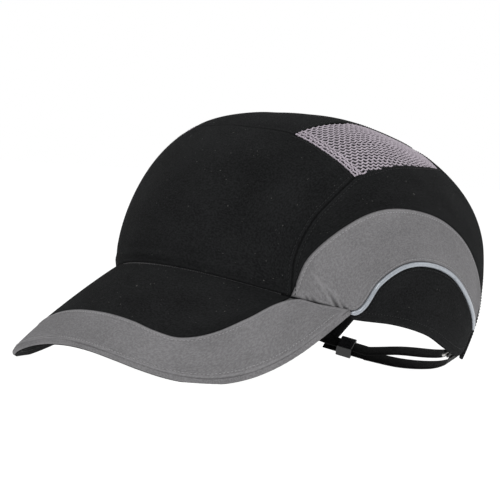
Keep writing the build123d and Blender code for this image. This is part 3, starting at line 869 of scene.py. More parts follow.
def thread_finish(name, base, gloss=0.5):
    """Sewing thread: two plies twisted round each other."""
    finish, wire, shader = new_finish(name)
    place = cloth_place(wire)
    parts = wire.node("SeparateXYZ", {0: place}).outputs
    along = wire.maths("MULTIPLY", parts[0], 9000.0)
    twist = wire.maths("ADD", along, wire.maths("MULTIPLY", parts[1], 6000.0))
    ply = wire.maths("ABSOLUTE", wire.maths("SINE", twist))
    seen = wire.blend(ply, tint(base, 0.6), tint(base, 1.2))
    bump = wire.node("Bump", {"Height": ply, "Strength": 0.5, "Distance": 0.0001})
    wire.feed(shader, {
        "Base Color": seen, "Roughness": gloss, "Normal": bump.outputs[0], "Specular IOR Level": 0.2,
    })
    return finish


def yarn_finish(name, base):
    """Knitted polyester yarn: fine filaments, with streaks darker and lighter at random along the yarn."""
    finish, wire, shader = new_finish(name)
    place = cloth_place(wire)
    drawn = wire.node("Mapping", {"Vector": place, "Scale": (1.0, 8.0, 1.0)}).outputs[0]
    fibres = wire.noise(drawn, 900.0, 3.0)
    dye = wire.group("Uneven dye", {
        "Place": place, "Dark": tint(base, 0.62),
        "Light": (base[0] * 1.3, base[1] * 1.33, base[2] * 1.3, 1.0),
        "Grain": 700.0,
    })["Color"]
    seen = wire.blend(wire.ramp(fibres, 0.3, 0.7), tint(base, 0.7), dye)
    bump = wire.node("Bump", {"Height": fibres, "Strength": 0.5, "Distance": 0.00015})
    wire.feed(shader, {
        "Base Color": seen, "Roughness": 0.6, "Normal": bump.outputs[0], "Sheen Weight": 0.2,
        "Sheen Roughness": 0.4,
    })
    return finish


def reflective_finish(name, base):
    """Reflective piping: tiny glass beads in a silver coat, rubbed thin here and there."""
    finish, wire, shader = new_finish(name)
    place = cloth_place(wire)
    beads = wire.node("TexVoronoi", {"Vector": place, "Scale": 5200.0}).outputs["Distance"]
    worn = wire.ramp(wire.noise(place, 260.0, 4.0), 0.56, 0.7)
    dye = wire.group("Uneven dye", {
        "Place": place, "Dark": tint(base, 0.86), "Light": tint(base, 1.1), "Grain": 1500.0,
    })["Color"]
    seen = wire.blend(wire.maths("MULTIPLY", worn, 0.4), dye, tint(base, 0.6))
    bump = wire.node("Bump", {"Height": beads, "Strength": 0.3, "Distance": 0.0001})
    wire.feed(shader, {
        "Base Color": seen, "Roughness": wire.ramp(worn, -0.8, 2.0), "Metallic": 0.25,
        "Normal": bump.outputs[0], "Coat Weight": 0.15, "Coat Roughness": 0.35,
    })
    return finish


def pile_finish(name, base):
    """Towelling: small loops of soft yarn, with painted shade in the hollows between the loops."""
    finish, wire, shader = new_finish(name)
    place = cloth_place(wire)
    loops = wire.node("TexVoronoi", {"Vector": place, "Scale": 1100.0})
    dye = wire.group("Uneven dye", {
        "Place": place, "Dark": tint(base, 0.6), "Light": tint(base, 1.5), "Grain": 900.0,
    })["Color"]
    # painted shade: darker away from the middle of each loop
    seen = wire.blend(wire.ramp(loops.outputs["Distance"], 0.1, 0.7), dye, tint(base, 0.4))
    height = wire.maths("SUBTRACT", 1.0, loops.outputs["Distance"])
    bump = wire.node("Bump", {"Height": height, "Strength": 0.9, "Distance": 0.0006})
    wire.feed(shader, {
        "Base Color": seen, "Roughness": 1.0, "Normal": bump.outputs[0], "Sheen Weight": 0.3,
        "Sheen Roughness": 0.6, "Specular IOR Level": 0.1,
    })
    return finish


def foam_finish(name, base):
    """Closed-cell foam: fine open pores in a soft skin, with painted shade inside the pores."""
    finish, wire, shader = new_finish(name)
    place = wire.node("TexCoord").outputs["Object"]
    pores = wire.node("TexVoronoi", {"Vector": place, "Scale": 1300.0}).outputs["Distance"]
    # painted shade inside each pore
    pore_shade = wire.maths("SUBTRACT", 1.0, wire.ramp(pores, 0.15, 0.4))
    dye = wire.group("Uneven dye", {
        "Place": place, "Dark": tint(base, 0.8), "Light": tint(base, 1.25), "Grain": 500.0,
    })["Color"]
    seen = wire.blend(wire.maths("MULTIPLY", pore_shade, 0.6), dye, tint(base, 0.35))
    bump = wire.node("Bump", {"Height": pores, "Strength": 0.5, "Distance": 0.0004})
    wire.feed(shader, {
        "Base Color": seen, "Roughness": 0.9, "Normal": bump.outputs[0], "Specular IOR Level": 0.2,
    })
    return finish


def plastic_finish(name, base, roughness, scale, scuffs=0.3):
    """Moulded plastic with a fine grain and light scuffs."""
    finish, wire, shader = new_finish(name)
    place = wire.node("TexCoord").outputs["Object"]
    grain = wire.group("Moulded grain", {"Place": place, "Scale": scale})
    worn = wire.maths("MULTIPLY", grain["Scuff"], scuffs)
    seen = wire.blend(worn, base, tint(base, 2.6))
    bump = wire.node("Bump", {"Height": grain["Height"], "Strength": 0.25, "Distance": 0.0002})
    rough = wire.maths("ADD", wire.maths("MULTIPLY", worn, 0.5), roughness)
    wire.feed(shader, {"Base Color": seen, "Roughness": rough, "Normal": bump.outputs[0]})
    return finish


def steel_finish(name):
    """Nickel-plated wire with drawn lines and a few dull spots."""
    finish, wire, shader = new_finish(name)
    place = wire.node("TexCoord").outputs["Object"]
    dull = wire.ramp(wire.noise(place, 700.0, 4.0), 0.45, 0.7)
    seen = wire.blend(dull, (0.55, 0.54, 0.52, 1.0), (0.32, 0.31, 0.3, 1.0))
    rough = wire.maths("ADD", wire.maths("MULTIPLY", dull, 0.25), 0.22)
    wire.feed(shader, {"Base Color": seen, "Roughness": rough, "Metallic": 1.0})
    return finish


def make_finishes():
    """Every finish of the cap, by name."""
    for build in (weave_group, mottle_group, lint_group, seam_group, grain_group):
        build()
    c = colours()
    twill = sizes().twill_thread
    cloth_finish("black_twill", c.black, twill, 3.0, 0.22, 0.006, 0.0002, 0.85)
    cloth_finish("peak_lining", tint(c.black, 0.85), twill, 3.0, 0.1, 0.005, 0.0002, 0.5)
    cloth_finish("grey_cloth", c.grey, twill * 0.85, 3.0, 0.0, 0.02, 0.00012, 0.42)
    cloth_finish("binding_tape", c.black, 0.0006, 2.0, 0.0, 0.006)
    cloth_finish("black_webbing", c.webbing, 0.0005, 2.0, 0.0, 0.004)
    finish("black_webbing").node_tree.nodes["Principled BSDF"].inputs["Roughness"].default_value = 0.5
    thread_finish("grey_thread", c.grey_thread)
    thread_finish("black_thread", c.black_thread)
    yarn_finish("open_mesh", c.mesh)
    reflective_finish("reflective_piping", c.piping)
    pile_finish("towelling", c.towelling)
    foam_finish("pad_foam", c.foam)
    plastic_finish("shell_plastic", c.shell, 0.42, 1400.0)
    plastic_finish("board_plastic", (0.06, 0.06, 0.06, 1.0), 0.5, 900.0)
    plastic_finish("slider_plastic", (0.009, 0.009, 0.01, 1.0), 0.2, 2600.0, 0.2)
    steel_finish("ring_steel")


def finish(name):
    return bpy.data.materials[name + finish_ending]


# ---------------------------------------------------------------- cover
def front_fold(rest, sides):
    """The soft fold that runs over the front panel just above the peak."""
    rise = sides[2]
    middle = hump(rest[..., 0], 0, 52)
    return middle * (-0.75 * hump(rise, 5.2, 1.7) + 0.45 * hump(rise, 8.6, 1.8))


# place along the peak's seam, length and depth of each crease in the grey side panel
side_creases = ((21.5, 3.5, 0.8), (24.8, 3.5, 0.7), (7.7, 10.0, 1.5), (2.6, 6.5, 1.2))


def crease_run(sides, middle):
    """Distance from the line of a crease that slants up and forward from the peak's seam."""
    return sides[2] - middle - 1.8 * sides[0]


def side_puckers(rest, sides):
    """Small creases where the grey panel is gathered into the peak's seam."""
    total = np.zeros(rest.shape[:-1])
    for middle, reach, depth in side_creases:
        across = crease_run(sides, middle)
        fade = np.exp(-((sides[0] / reach) ** 2))
        total = total + depth * fade * (hump(across, 0, 1.7) - 0.8 * hump(across, 3.0, 1.8))
    return total


def side_shade(sides, edge):
    """Treats the bottom of each crease as cloth close to a seam, so that the seam finish paints shade along
    it and a lighter band, partly painted highlight, beside it.
    """
    for middle, reach, _ in side_creases:
        across = np.abs(crease_run(sides, middle))
        edge = np.minimum(edge, 0.1 + across * 0.4 + 0.8 * (sides[0] / reach) ** 2)
    return edge


def ear_curl(rest, sides):
    """The hem along the rim: a doubled fold that stands slightly proud."""
    rise = sides[2]
    return -0.25 * (1 - smooth_step((rise - 5.0) / 1.4)) * smooth_step(rise / 1.0)


def make_black_panels():
    black = finish("black_twill")
    steps = lambda t: root_on_crown(corner_x * (2 * np.asarray(t, float) - 1))
    top = joined(mirror_line(mesh_front), front_over, back_along(mesh_front))
    panel = cover_panel(coons(steps, top, mirror_line(front_seam), front_seam), front_fold, 1.3, 3)
    new_piece("front_panel_cloth", *panel[:2], black, "black_twill", ("front_panel",), panel[2])
    panel = cover_panel(coons(front_over, rear_over, mirror_line(mesh_high), mesh_high), None, 1.3, 2)
    new_piece("top_panel_cloth", *panel[:2], black, "black_twill", ("top_panel",), panel[2])
    low = between(grey_top, 0.012, 1)
    high = joined(between(front_seam, 0.03, 1), mesh_low)
    panel = cover_panel(coons(low, high, curve([low(0.0), high(0.0)]), rear_seam))
    both_sides("crown_side_cloth", *panel[:2], black, "black_twill", "crown_side_panel", panel[2])
    over = joined(mirror_line(mesh_rear), rear_over, back_along(mesh_rear))
    under = between(arch_inner, 1 - grey_share, grey_share)
    panel = cover_panel(coons(under, over, mirror_line(rear_seam), rear_seam))
    new_piece("rear_panel_cloth", *panel[:2], black, "black_twill", ("rear_panel",), panel[2])
    piping_low = beside(piping_line, -piping_half)
    rear = [arch_inner(piping_share + (0.985 - piping_share) * i / 3) for i in (2, 1)]
    right = curve([rim_curve(1.0)] + rear + [piping_low(1.0)])
    left = curve([rim_curve(0.0), piping_low(0.0)])
    panel = cover_panel(coons(rim_curve, piping_low, left, right), ear_curl)
    both_sides("ear_panel_cloth", *panel[:2], black, "black_twill", "ear_panel", panel[2])


def make_grey_panels():
    low = beside(piping_line, piping_half)
    front = curve([low(0.0), root_on_crown((corner_x + root_end_x) / 2), front_corner])
    surface = coons(low, grey_top, front, curve([low(1.0), grey_end]))
    panel = cover_panel(surface, side_puckers, 0.7, shade=side_shade)
    both_sides("side_panel_cloth", *panel[:2], finish("grey_cloth"), "grey_cloth", "side_panel", panel[2])


# ---------------------------------------------------------------- open mesh
def mesh_sheet():
    return coons(mesh_low, mesh_high, mesh_front, mesh_rear)


def knitted_row(path, phase, sway, lift, cell):
    """One row of the mesh's yarn along a path, swaying and touching its neighbours at each knot."""
    run = run_lengths(path)
    count = max(2, round(run[-1] / cell))
    t = np.linspace(0, 1, count * 9 + 1)
    base = on_crown(np.stack([np.interp(t * run[-1], run, path[:, k]) for k in range(3)], -1))
    swing = 2 * pi * count * t + phase
    normal = crown_normal(base)
    _, across, _ = frames(base, normal)
    points = base + across * (sway * np.cos(swing))[:, None]
    return points + normal * (lift + 0.16 * np.cos(2 * swing))[:, None], normal


def make_mesh_panels():
    sheet = mesh_sheet()
    cell = sizes().mesh_cell * 1000
    u = np.linspace(0.004, 0.996, 120)
    columns = on_crown(sheet(u[:, None], np.linspace(0, 1, 21)[None, :]))
    heights = length_of(np.diff(columns, axis=1))[..., 0].sum(1)
    row = sizes().mesh_row * 1000
    groups = []
    back = run_lengths(on_crown(sheet(u, 0.5)))
    for k in range(-40, int(heights.max() / row) + 1):
        v = 0.994 - (k * row + mesh_row_slope * back) / heights
        kept = (v > 0.006) & (v < 0.994)
        if kept.sum() > 4:
            path = on_crown(sheet(u[kept], v[kept]))
            points, normal = knitted_row(path, pi * (k % 2), 0.46, -0.8, cell)
            groups.append((points, normal, 0.5, 0.36))
    down = np.linspace(0.01, 0.99, 60)
    for u, lift, sway in ((0.008, -0.35, 0.12), (0.028, -0.2, 0.4), (0.046, -0.25, 0.3), (0.99, -0.6, 0.12)):
        path = on_crown(sheet(u + 0 * down, down))
        points, normal = knitted_row(path, 0.0, sway, lift, cell * 0.8)
        groups.append((points, normal, 0.5, 0.3))
    all_points, all_faces, all_place, base = [], [], [], 0
    for points, normal, half_width, half_height in groups:
        rings = yarns(points[None], normal[None], half_width, half_height)
        spots, faces = tubes(rings)
        all_points.append(spots)
        all_faces += [[i + base for i in face] for face in faces]
        all_place.append(ring_place(rings) + (0, base * 0.01, 0))
        base += len(spots)
    joined_points = np.concatenate(all_points)
    yarn = finish("open_mesh")
    place = np.concatenate(all_place)
    both_sides("mesh_yarn", joined_points, all_faces, yarn, "open_mesh", "mesh_panel", place)


# ---------------------------------------------------------------- piping and binding
def round_section(radius, middle, count=14):
    turns = 2 * pi * np.arange(count) / count
    return [(radius * cos(a), middle - radius * sin(a)) for a in turns]


def make_side_piping():
    rings = section_run(piping_line, round_section(1.3, 0.25), 260, 0.5)
    points, faces = tubes(rings)
    both_sides(
        "side_piping_cord", points, faces, finish("reflective_piping"), "reflective_piping", "side_piping",
        ring_place(rings),
    )


def make_arch_binding():
    near, far = seam_gap - binding_width, 0.0
    top, low, bend = -0.45, cloth + 0.35, 0.6
    corners = [(near + bend, top), (far - bend, top), (far, top + bend), (far, low - bend)]
    corners += [(far - bend, low), (near + bend, low), (near, low - bend / 2), (near, top + bend / 2)]
    middle = [((near + far) / 2, top - 0.12), ((near + far) / 2, low)]
    section = [corners[0], middle[0]] + corners[1:5] + [middle[1]] + corners[5:]
    rings = section_run(arch_edge, section, 240)
    points, faces = tubes(rings)
    new_piece(
        "arch_binding_tape", points, faces, finish("binding_tape"), "binding_tape", ("rear_arch_binding",),
        ring_place(rings),
    )


def make_seam_tapes():
    line = between(front_seam, 0.45, 0.95)
    low = beside(line, -tape_half_width)
    high = beside(line, tape_half_width)
    sheet = coons(low, high, curve([low(0.0), high(0.0)]), curve([low(1.0), high(1.0)]))
    outer = lambda rest, sides, edge: np.full(edge.shape, tape_outer)
    inner = lambda rest, sides, edge: tape_outer + tape_thickness - 0.2 * np.exp(-edge / 0.4)
    tape = crown_sheet(sheet, outer, inner, 1.0, 0.0)
    binding = finish("binding_tape")
    both_sides("front_seam_tape_cloth", *tape[:2], binding, "binding_tape", "front_seam_tape", tape[2])


# ---------------------------------------------------------------- stitching of the cover
def make_cover_stitching():
    black = finish("black_thread")
    grey = finish("grey_thread")
    both = (-row_inset, row_inset)
    sew("front_seam_stitches", [row_on_crown(front_seam, s) for s in both], black, "black_twill")
    around = [row_on_crown(mesh_low, -1.8), row_on_crown(mesh_high, 1.8), row_on_crown(mesh_front, 1.8)]
    sew("mesh_edge_stitches", around + [row_on_crown(mesh_rear, -1.8)], black, "black_twill")
    sew("grey_top_stitches", [row_on_crown(grey_top, -row_inset)], grey, "grey_cloth")
    sew("rear_seam_stitches", [row_on_crown(rear_seam, s) for s in both], black, "black_twill")
    sew("piping_upper_stitches", [row_on_crown(piping_line, piping_half + 1.7)], grey, "grey_cloth")
    sew("piping_lower_stitches", [row_on_crown(piping_line, -piping_half - 1.7)], black, "black_twill")
    sew("rim_hem_stitches", [row_on_crown(rim_curve, 4.8, -0.05)], black, "black_twill")
    over = [row_on_crown(rear_over, s) for s in (-row_inset, row_inset)]
    sew("top_seam_stitches", over, black, "black_twill", False)
    middle = -binding_width / 2 - 0.6
    sew("arch_binding_stitches", [row_on_crown(arch_edge, middle, -0.5)], black, "binding_tape", False)


# ---------------------------------------------------------------- sweatband and pads
def make_sweatband():
    side = [(84, -21, -18.5), (86, 8, -26), (81, 37, -34), (70, 63, -45)]
    fore = [root_on_crown(x) for x in (0, 30, 55, corner_x)]
    low = curve(mirrored(side[::-1]) + mirrored(fore[:0:-1]) + fore + side)
    tops = [(30, -83, 36), (55, -69, 31), (72, -50, 26), (84, -21, 17), (87, 8, 12), (83, 40, 7), (76, 68, 2)]
    high = curve(mirrored(tops[::-1]) + [(0, -88, 38)] + tops)
    sheet = coons(low, high, curve([low(0.0), high(0.0)]), curve([low(1.0), high(1.0)]))
    draws = np.random.default_rng(11)

    def outer(rest, sides, edge):
        share = sides[2] / (sides[2] + sides[3] + 1e-9)
        return tape_outer + 0.15 + (pad_outer - tape_outer) * smooth_step(share / 0.38)

    def inner(rest, sides, edge):
        loops = draws.uniform(-0.14, 0.14, edge.shape)
        fat = sweatband_thickness - 1.3 * np.exp(-edge / 1.1) - 0.7 * hump(sides[3], 5.5, 0.7)
        return outer(rest, sides, edge) + fat + loops * smooth_step(edge / 2)

    band = crown_sheet(sheet, outer, inner, 1.2, 0.5)
    pile = finish("towelling")
    piece = new_piece("sweatband_towelling", *band[:2], pile, "towelling", ("sweatband",), band[2])


def make_pads():
    pads = {
        "front_pad": ((44, -68, 46), (-44, -68, 46), (-30, -45, 70), (30, -45, 70)),
        "crown_pad": ((36, -25, 78), (33, 45, 74), (-33, 45, 74), (-36, -25, 78)),
        "rear_pad": ((40, 112, 14), (-40, 112, 14), (-34, 92, 50), (34, 92, 50)),
        "side_pad": ((82, -18, 24), (80, 46, 20), (70, 46, 46), (74, -18, 46)),
    }
    foam = finish("pad_foam")
    for name, (front_low, rear_low, rear_high, front_high) in pads.items():
        sheet = coons(
            curve([front_low, rear_low]), curve([front_high, rear_high]),
            curve([front_low, front_high]), curve([rear_low, rear_high]),
        )
        outer = lambda rest, sides, edge: np.full(edge.shape, pad_outer)

        def inner(rest, sides, edge):
            crowned = 1 - 0.72 * np.exp(-edge / 1.6)
            groove = 0.35 * hump(edge, 7.5, 0.9)
            return pad_outer + pad_thickness * (crowned - groove)

        points, faces, place = crown_sheet(sheet, outer, inner, 1.4, 0.0)
        if name == "side_pad":
            for piece in both_sides("side_pad_foam", points, faces, foam, "foam", name, place):
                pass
        else:
            new_piece(name + "_foam", points, faces, foam, "foam", (name,), place)


# ---------------------------------------------------------------- peak
def root_line(t):
    x = root_reach_x * (2 * np.asarray(t, float) - 1)
    return np.stack([x, peak_root(x) + 0.1], -1)


def flat_curve(half):
    """An even curve of x and reach from a list for one half, its middle point first."""
    points = [(-x, reach, 0) for x, reach in half[::-1]] + [(x, reach, 0) for x, reach in half[1:]]
    line = curve(points)
    return lambda t: line(t)[..., :2]


rim_end = float(peak_rim_end(band_inset, 0.5))
root_reach_x = float(peak_rim(rim_end, band_inset)[0])
rim_places = [peak_rim(rim_end * sin(pi / 2 * i / 14), band_inset) for i in range(15)]
rim_line = flat_curve([(float(x), float(reach)) for x, reach in rim_places])


def peak_layer(near, far, top, under, spacing=1.5):
    """A layer of the peak between two lines; top and under give drops from edge distances."""
    steps = np.linspace(0, 1, 61)
    width = run_lengths(peak_point(*far(steps).T))[-1]
    span = np.stack([near(np.array(0.5)), far(np.array(0.5))])
    height = run_lengths(peak_point(*span.T))[-1]
    u = marks(width, spacing)[:, None]
    v = marks(height, spacing)[None, :, None]
    flat = near(u[:, 0])[:, None] * (1 - v) + far(u[:, 0])[:, None] * v
    rest = peak_point(flat[..., 0], flat[..., 1])
    run_u = np.concatenate([rest[:1, :, 0] * 0, np.cumsum(length_of(np.diff(rest, axis=0))[..., 0], 0)])
    run_v = np.concatenate([rest[:, :1, 0] * 0, np.cumsum(length_of(np.diff(rest, axis=1))[..., 0], 1)], 1)
    sides = (run_u, run_u[-1:] - run_u, run_v, run_v[:, -1:] - run_v)
    edge = np.minimum.reduce(sides)
    waves = cloth_waves(rest) * 0.8
    high = top(sides, edge) + waves
    low = np.maximum(under(sides, edge), high + 0.15)
    across, reach = flat[..., 0], flat[..., 1]
    points, faces = slab(peak_point(across, reach, high), peak_point(across, reach, low))
    place = np.stack([run_u - run_u[-1:] / 2, run_v - run_v[:, -1:] / 2, edge], -1)
    return points, faces, np.concatenate([place.reshape(-1, 3)] * 2)


def peak_row(line, drop, out_side=1.0):
    """A row of stitches on the peak along a line of x and reach, as rings."""
    flat = line(np.linspace(0.01, 0.99, 300))
    points = peak_point(flat[:, 0], flat[:, 1], drop)
    above = peak_point(flat[:, 0], flat[:, 1], drop - 1.0)
    return stitches(points, unit(above - points) * out_side)


def band_inner_line():
    half = []
    for i in range(8):
        x = corner_x * sin(pi / 2 * i / 8)
        half.append((x, float(colour_line(x))))
    for share in (0.15, 0.5, 1.0):
        x = corner_x + (root_reach_x - corner_x) * share
        half.append((x, float(peak_root(x)) + 0.1))
    return flat_curve(half)


def colour_row(inset):
    """A line of x and reach at a distance outside the colour seam."""

    def at(t):
        x = (corner_x - 1.8) * (2 * np.asarray(t, float) - 1)
        slope = (colour_line(x + 0.1) - colour_line(x - 0.1)) / 0.2
        size = np.hypot(1.0, slope)
        return np.stack([x - inset * slope / size, colour_line(x) + inset / size], -1)

    return at


def inset_rim(inset, margin=4.0):
    end = float(peak_rim_end(inset, margin))
    places = [peak_rim(end * sin(pi / 2 * i / 14), inset) for i in range(15)]
    return flat_curve([(float(x), float(reach)) for x, reach in places])


def make_peak():
    end = corner_x - 0.1

    def near(t):
        x = end * (2 * np.asarray(t, float) - 1)
        return np.stack([x, peak_root(x) + 0.3], -1)

    def far(t):
        x = end * (2 * np.asarray(t, float) - 1)
        return np.stack([x, colour_line(x) + tuck * np.cos(pi / 2 * x / end) + 0.1], -1)

    def middle_top(sides, edge):
        return 0.45 * np.exp(-sides[2] / 0.8) + 0.55 * (1 - smooth_step((sides[3] - 0.6) / 1.4))

    def flat_under(sides, edge):
        return np.full(edge.shape, peak_cloth)

    def folded_under(sides, edge):
        return peak_cloth - 0.4 * (1 - smooth_step((sides[2] - 1.6) / 0.6))

    black = finish("black_twill")
    panel = peak_layer(near, far, middle_top, flat_under)
    new_piece("peak_top_cloth", *panel[:2], black, "black_twill", ("peak_top_panel",), panel[2])

    def band_top(sides, edge):
        folded = -0.3 * (1 - smooth_step((sides[2] - 4.0) / 2.0)) + 0.35 * np.exp(-sides[2] / 0.45)
        rim = 0.55 * np.exp(-sides[3] / 0.9) + 0.14 * hump(sides[3], 2.6, 0.6)
        return folded + rim + 0.1 * hump(sides[2], row_inset, 0.6)

    panel = peak_layer(band_inner_line(), rim_line, band_top, folded_under)
    new_piece("peak_band_cloth", *panel[:2], finish("grey_cloth"), "grey_cloth", ("peak_band",), panel[2])
    start = peak_cloth + board_thickness + 0.2

    def lining_under(sides, edge):
        return start + peak_cloth - 0.45 * np.exp(-edge / 0.9)

    lining_rim = inset_rim(lining_inset, 0.5)
    panel = peak_layer(root_line, lining_rim, lambda sides, edge: np.full(edge.shape, start), lining_under)
    lining = finish("peak_lining")
    new_piece("peak_lining_cloth", *panel[:2], lining, "black_twill", ("peak_under_cover",), panel[2])
    grey = finish("grey_thread")
    sew("peak_band_stitches", [peak_row(colour_row(row_inset), -0.2)], grey, "grey_cloth", False)
    sew("peak_rim_stitches", [peak_row(inset_rim(band_inset + 2.1), 0.14)], grey, "grey_cloth", False)
    under = start + peak_cloth
    rows = [peak_row(inset_rim(band_inset + inset), under, -1.0) for inset in (2.6, 16.0, 24.0)]
    sew("peak_lining_stitches", rows, finish("black_thread"), "black_twill", False)


def make_edge_piping():
    """The rolled piping round the edge of the peak, gathered slightly along its seam."""
    end = float(peak_rim_end(rim_roll, 0.2))
    s = np.linspace(-end, end, 420)
    turns = 2 * pi * np.arange(16) / 16
    runs = run_lengths(peak_point(*peak_rim(s, rim_roll), rim_roll_drop))
    gather = 1 + 0.018 * np.sin(runs * 2 * pi / 4.3) + 0.012 * np.sin(runs * 2 * pi / 2.9 + 1)
    radius = rim_roll * gather
    rings = []
    for turn in turns:
        x, reach = peak_rim(s, rim_roll + radius * cos(turn))
        rings.append(peak_point(x, reach, rim_roll_drop - radius * sin(turn)))
    rings = np.stack(rings, 1)[None]
    points, faces = tubes(rings)
    place = ring_place(rings)
    place = np.stack([place[:, 0] + place[:, 1], place[:, 1] - place[:, 0], place[:, 2]], -1)
    new_piece(
        "peak_edge_piping_cord", points, faces, finish("grey_cloth"), "grey_cloth",
        ("peak_edge_piping",), place,
    )


# ---------------------------------------------------------------- strap
def strap_axes(along, lean):
    """Unit vectors along the strap, across its width and through its thickness."""
    t = unit(along)
    level = unit(np.cross((0, 0, 1), t))
    width = np.cross(t, level) * cos(radians(lean)) + level * sin(radians(lean))
    return t, width, np.cross(t, width)


def ribbon(points, leans, facing, step=1.0):
    """Stations along a smooth run of strap; facing is -1 where the strap runs back."""
    points = np.array(points, float)
    line = curve(points)
    knots = run_lengths(points)
    stations = []
    for t in np.linspace(0, 1, ceil(knots[-1] / step) + 1):
        lean = np.interp(t * knots[-1], knots, leans)
        run = (line(min(t + 0.004, 1.0)) - line(max(t - 0.004, 0.0))) * facing
        _, width, thick = strap_axes(run, lean)
        stations.append((line(t), width, thick * facing))
    return stations


def strap_stations():
    """Centre, width direction and thickness direction at stations along the strap."""
    slide, _, slide_thick = strap_axes(slider_along, slider_lean)
    ring_out, ring_wide, ring_thick = strap_axes(ring_along, ring_lean)
    upper = slider_centre + slide_thick * strap_layer
    lower = slider_centre - slide_thick * strap_layer
    fold = strap_fold_radius
    bar = np.array(ring_bar)
    anchor = on_crown((-60, 76, -44), cloth + webbing_thickness / 2 + 2.2)
    there = [
        anchor, upper - slide * (straight_before + 2), upper - slide * straight_before, upper,
        upper + slide * straight_after, upper + slide * (straight_after + 2),
        (-14, strap_middle_y - 1.0, strap_upper_z - 0.3), (14, strap_middle_y - 1.0, strap_upper_z + 0.6),
        (32, 101.0, -52.0), bar + ring_thick * fold,
    ]
    back = [
        bar - ring_thick * fold, (31, 101.5, -57.0), (14, strap_middle_y - 1.0, strap_lower_z + 1.6),
        (-12, strap_middle_y - 1.5, strap_lower_z + 0.2), lower + slide * (straight_after + 2),
        lower + slide * straight_after, lower, lower - slide * tail_length,
    ]
    stations = ribbon(there, [25] + [slider_lean] * 7 + [ring_lean, ring_lean], 1)
    for i in range(1, 12):
        side = ring_thick * cos(pi * i / 12) + ring_out * sin(pi * i / 12)
        stations.append((bar + side * fold, ring_wide, side))
    return stations + ribbon(back, [ring_lean, ring_lean] + [slider_lean] * 6, -1)


def band_rings(stations):
    """Rings of a woven band with rounded selvedges and a faint rib across it."""
    half = webbing_width / 2
    thin = webbing_thickness / 2
    bend = thin * 0.9
    flat = [(-1, -1), (-0.5, -1), (0, -1), (0.5, -1), (1, -1), (1, 1), (0.5, 1), (0, 1), (-0.5, 1), (-1, 1)]
    rings = []
    for i, (centre, across, thick) in enumerate(stations):
        rib = 0.035 * (-1) ** i
        ring = []
        for a, b in flat:
            if abs(a) == 1:
                ring.append(centre + across * a * (half - bend * 0.35) + thick * b * thin * 0.55)
            else:
                ring.append(centre + across * a * half * 1.6 + thick * b * (thin + rib))
        selvedge = centre + across * half
        ring.insert(5, selvedge)
        ring.append(centre - across * half)
        rings.append(ring)
    return np.array(rings, float)[None]


def make_strap():
    webbing = finish("black_webbing")
    rings = band_rings(strap_stations())
    points, faces = tubes(rings)
    new_piece("strap_band", points, faces, webbing, "black_webbing", ("strap_webbing",), ring_place(rings))
    out, wide, thick = strap_axes(ring_along, ring_lean)
    hinge = np.array(ring_bar) + out * ring_length
    fold = tab_fold_radius
    anchor = on_crown((61, 76, -44), cloth + webbing_thickness / 2 + 1.6)
    stations = []
    for i in range(13):
        side = thick * cos(pi * i / 12) - out * sin(pi * i / 12)
        stations.append((hinge + side * fold, wide, side))
    run = [hinge - thick * fold, hinge - thick * fold + out * 4.0, anchor]
    flat = ribbon(run, [ring_lean, ring_lean - 10, 30], 1)
    stations += [(centre, width, -through) for centre, width, through in flat[1:]]
    rings = band_rings(stations)
    points, faces = tubes(rings)
    new_piece("ring_tab_band", points, faces, webbing, "black_webbing", ("ring_tab",), ring_place(rings))


# ---------------------------------------------------------------- hard parts
def refinish(node, name):
    """Gives a carried-over CAD node its finish."""
    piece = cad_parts[node]
    piece.data.materials.clear()
    piece.data.materials.append(finish(name))


def make_hard_parts():
    refinish("bump_shell", "shell_plastic")
    refinish("peak_board", "board_plastic")
    refinish("strap_slider", "slider_plastic")
    refinish("strap_ring", "ring_steel")


# ---------------------------------------------------------------- stage
camera_turn = 50.128
camera_rise = 4.653
camera_distance = 1585.917
camera_side = 15.16
camera_up = -9.468
camera_lens = 207.14


def area_light(name, place, aim, size, power, tone=(1.0, 1.0, 1.0)):
    data = bpy.data.lights.new(name, "AREA")
    data.shape = "DISK"
    data.size = size
    data.energy = power
    data.color = tone
    light = bpy.data.objects.new(name, data)
    away = np.array(place, float) - np.array(aim, float)
    light.matrix_world = look_matrix(place, away)
    bpy.context.scene.collection.objects.link(light)


def look_matrix(place, back, up=(0.0, 0.0, 1.0)):
    back = unit(back)
    right = unit(np.cross(up, back))
    rise = np.cross(back, right)
    turned = Matrix([[right[k], rise[k], back[k], place[k]] for k in range(3)] + [[0, 0, 0, 1]])
    return turned


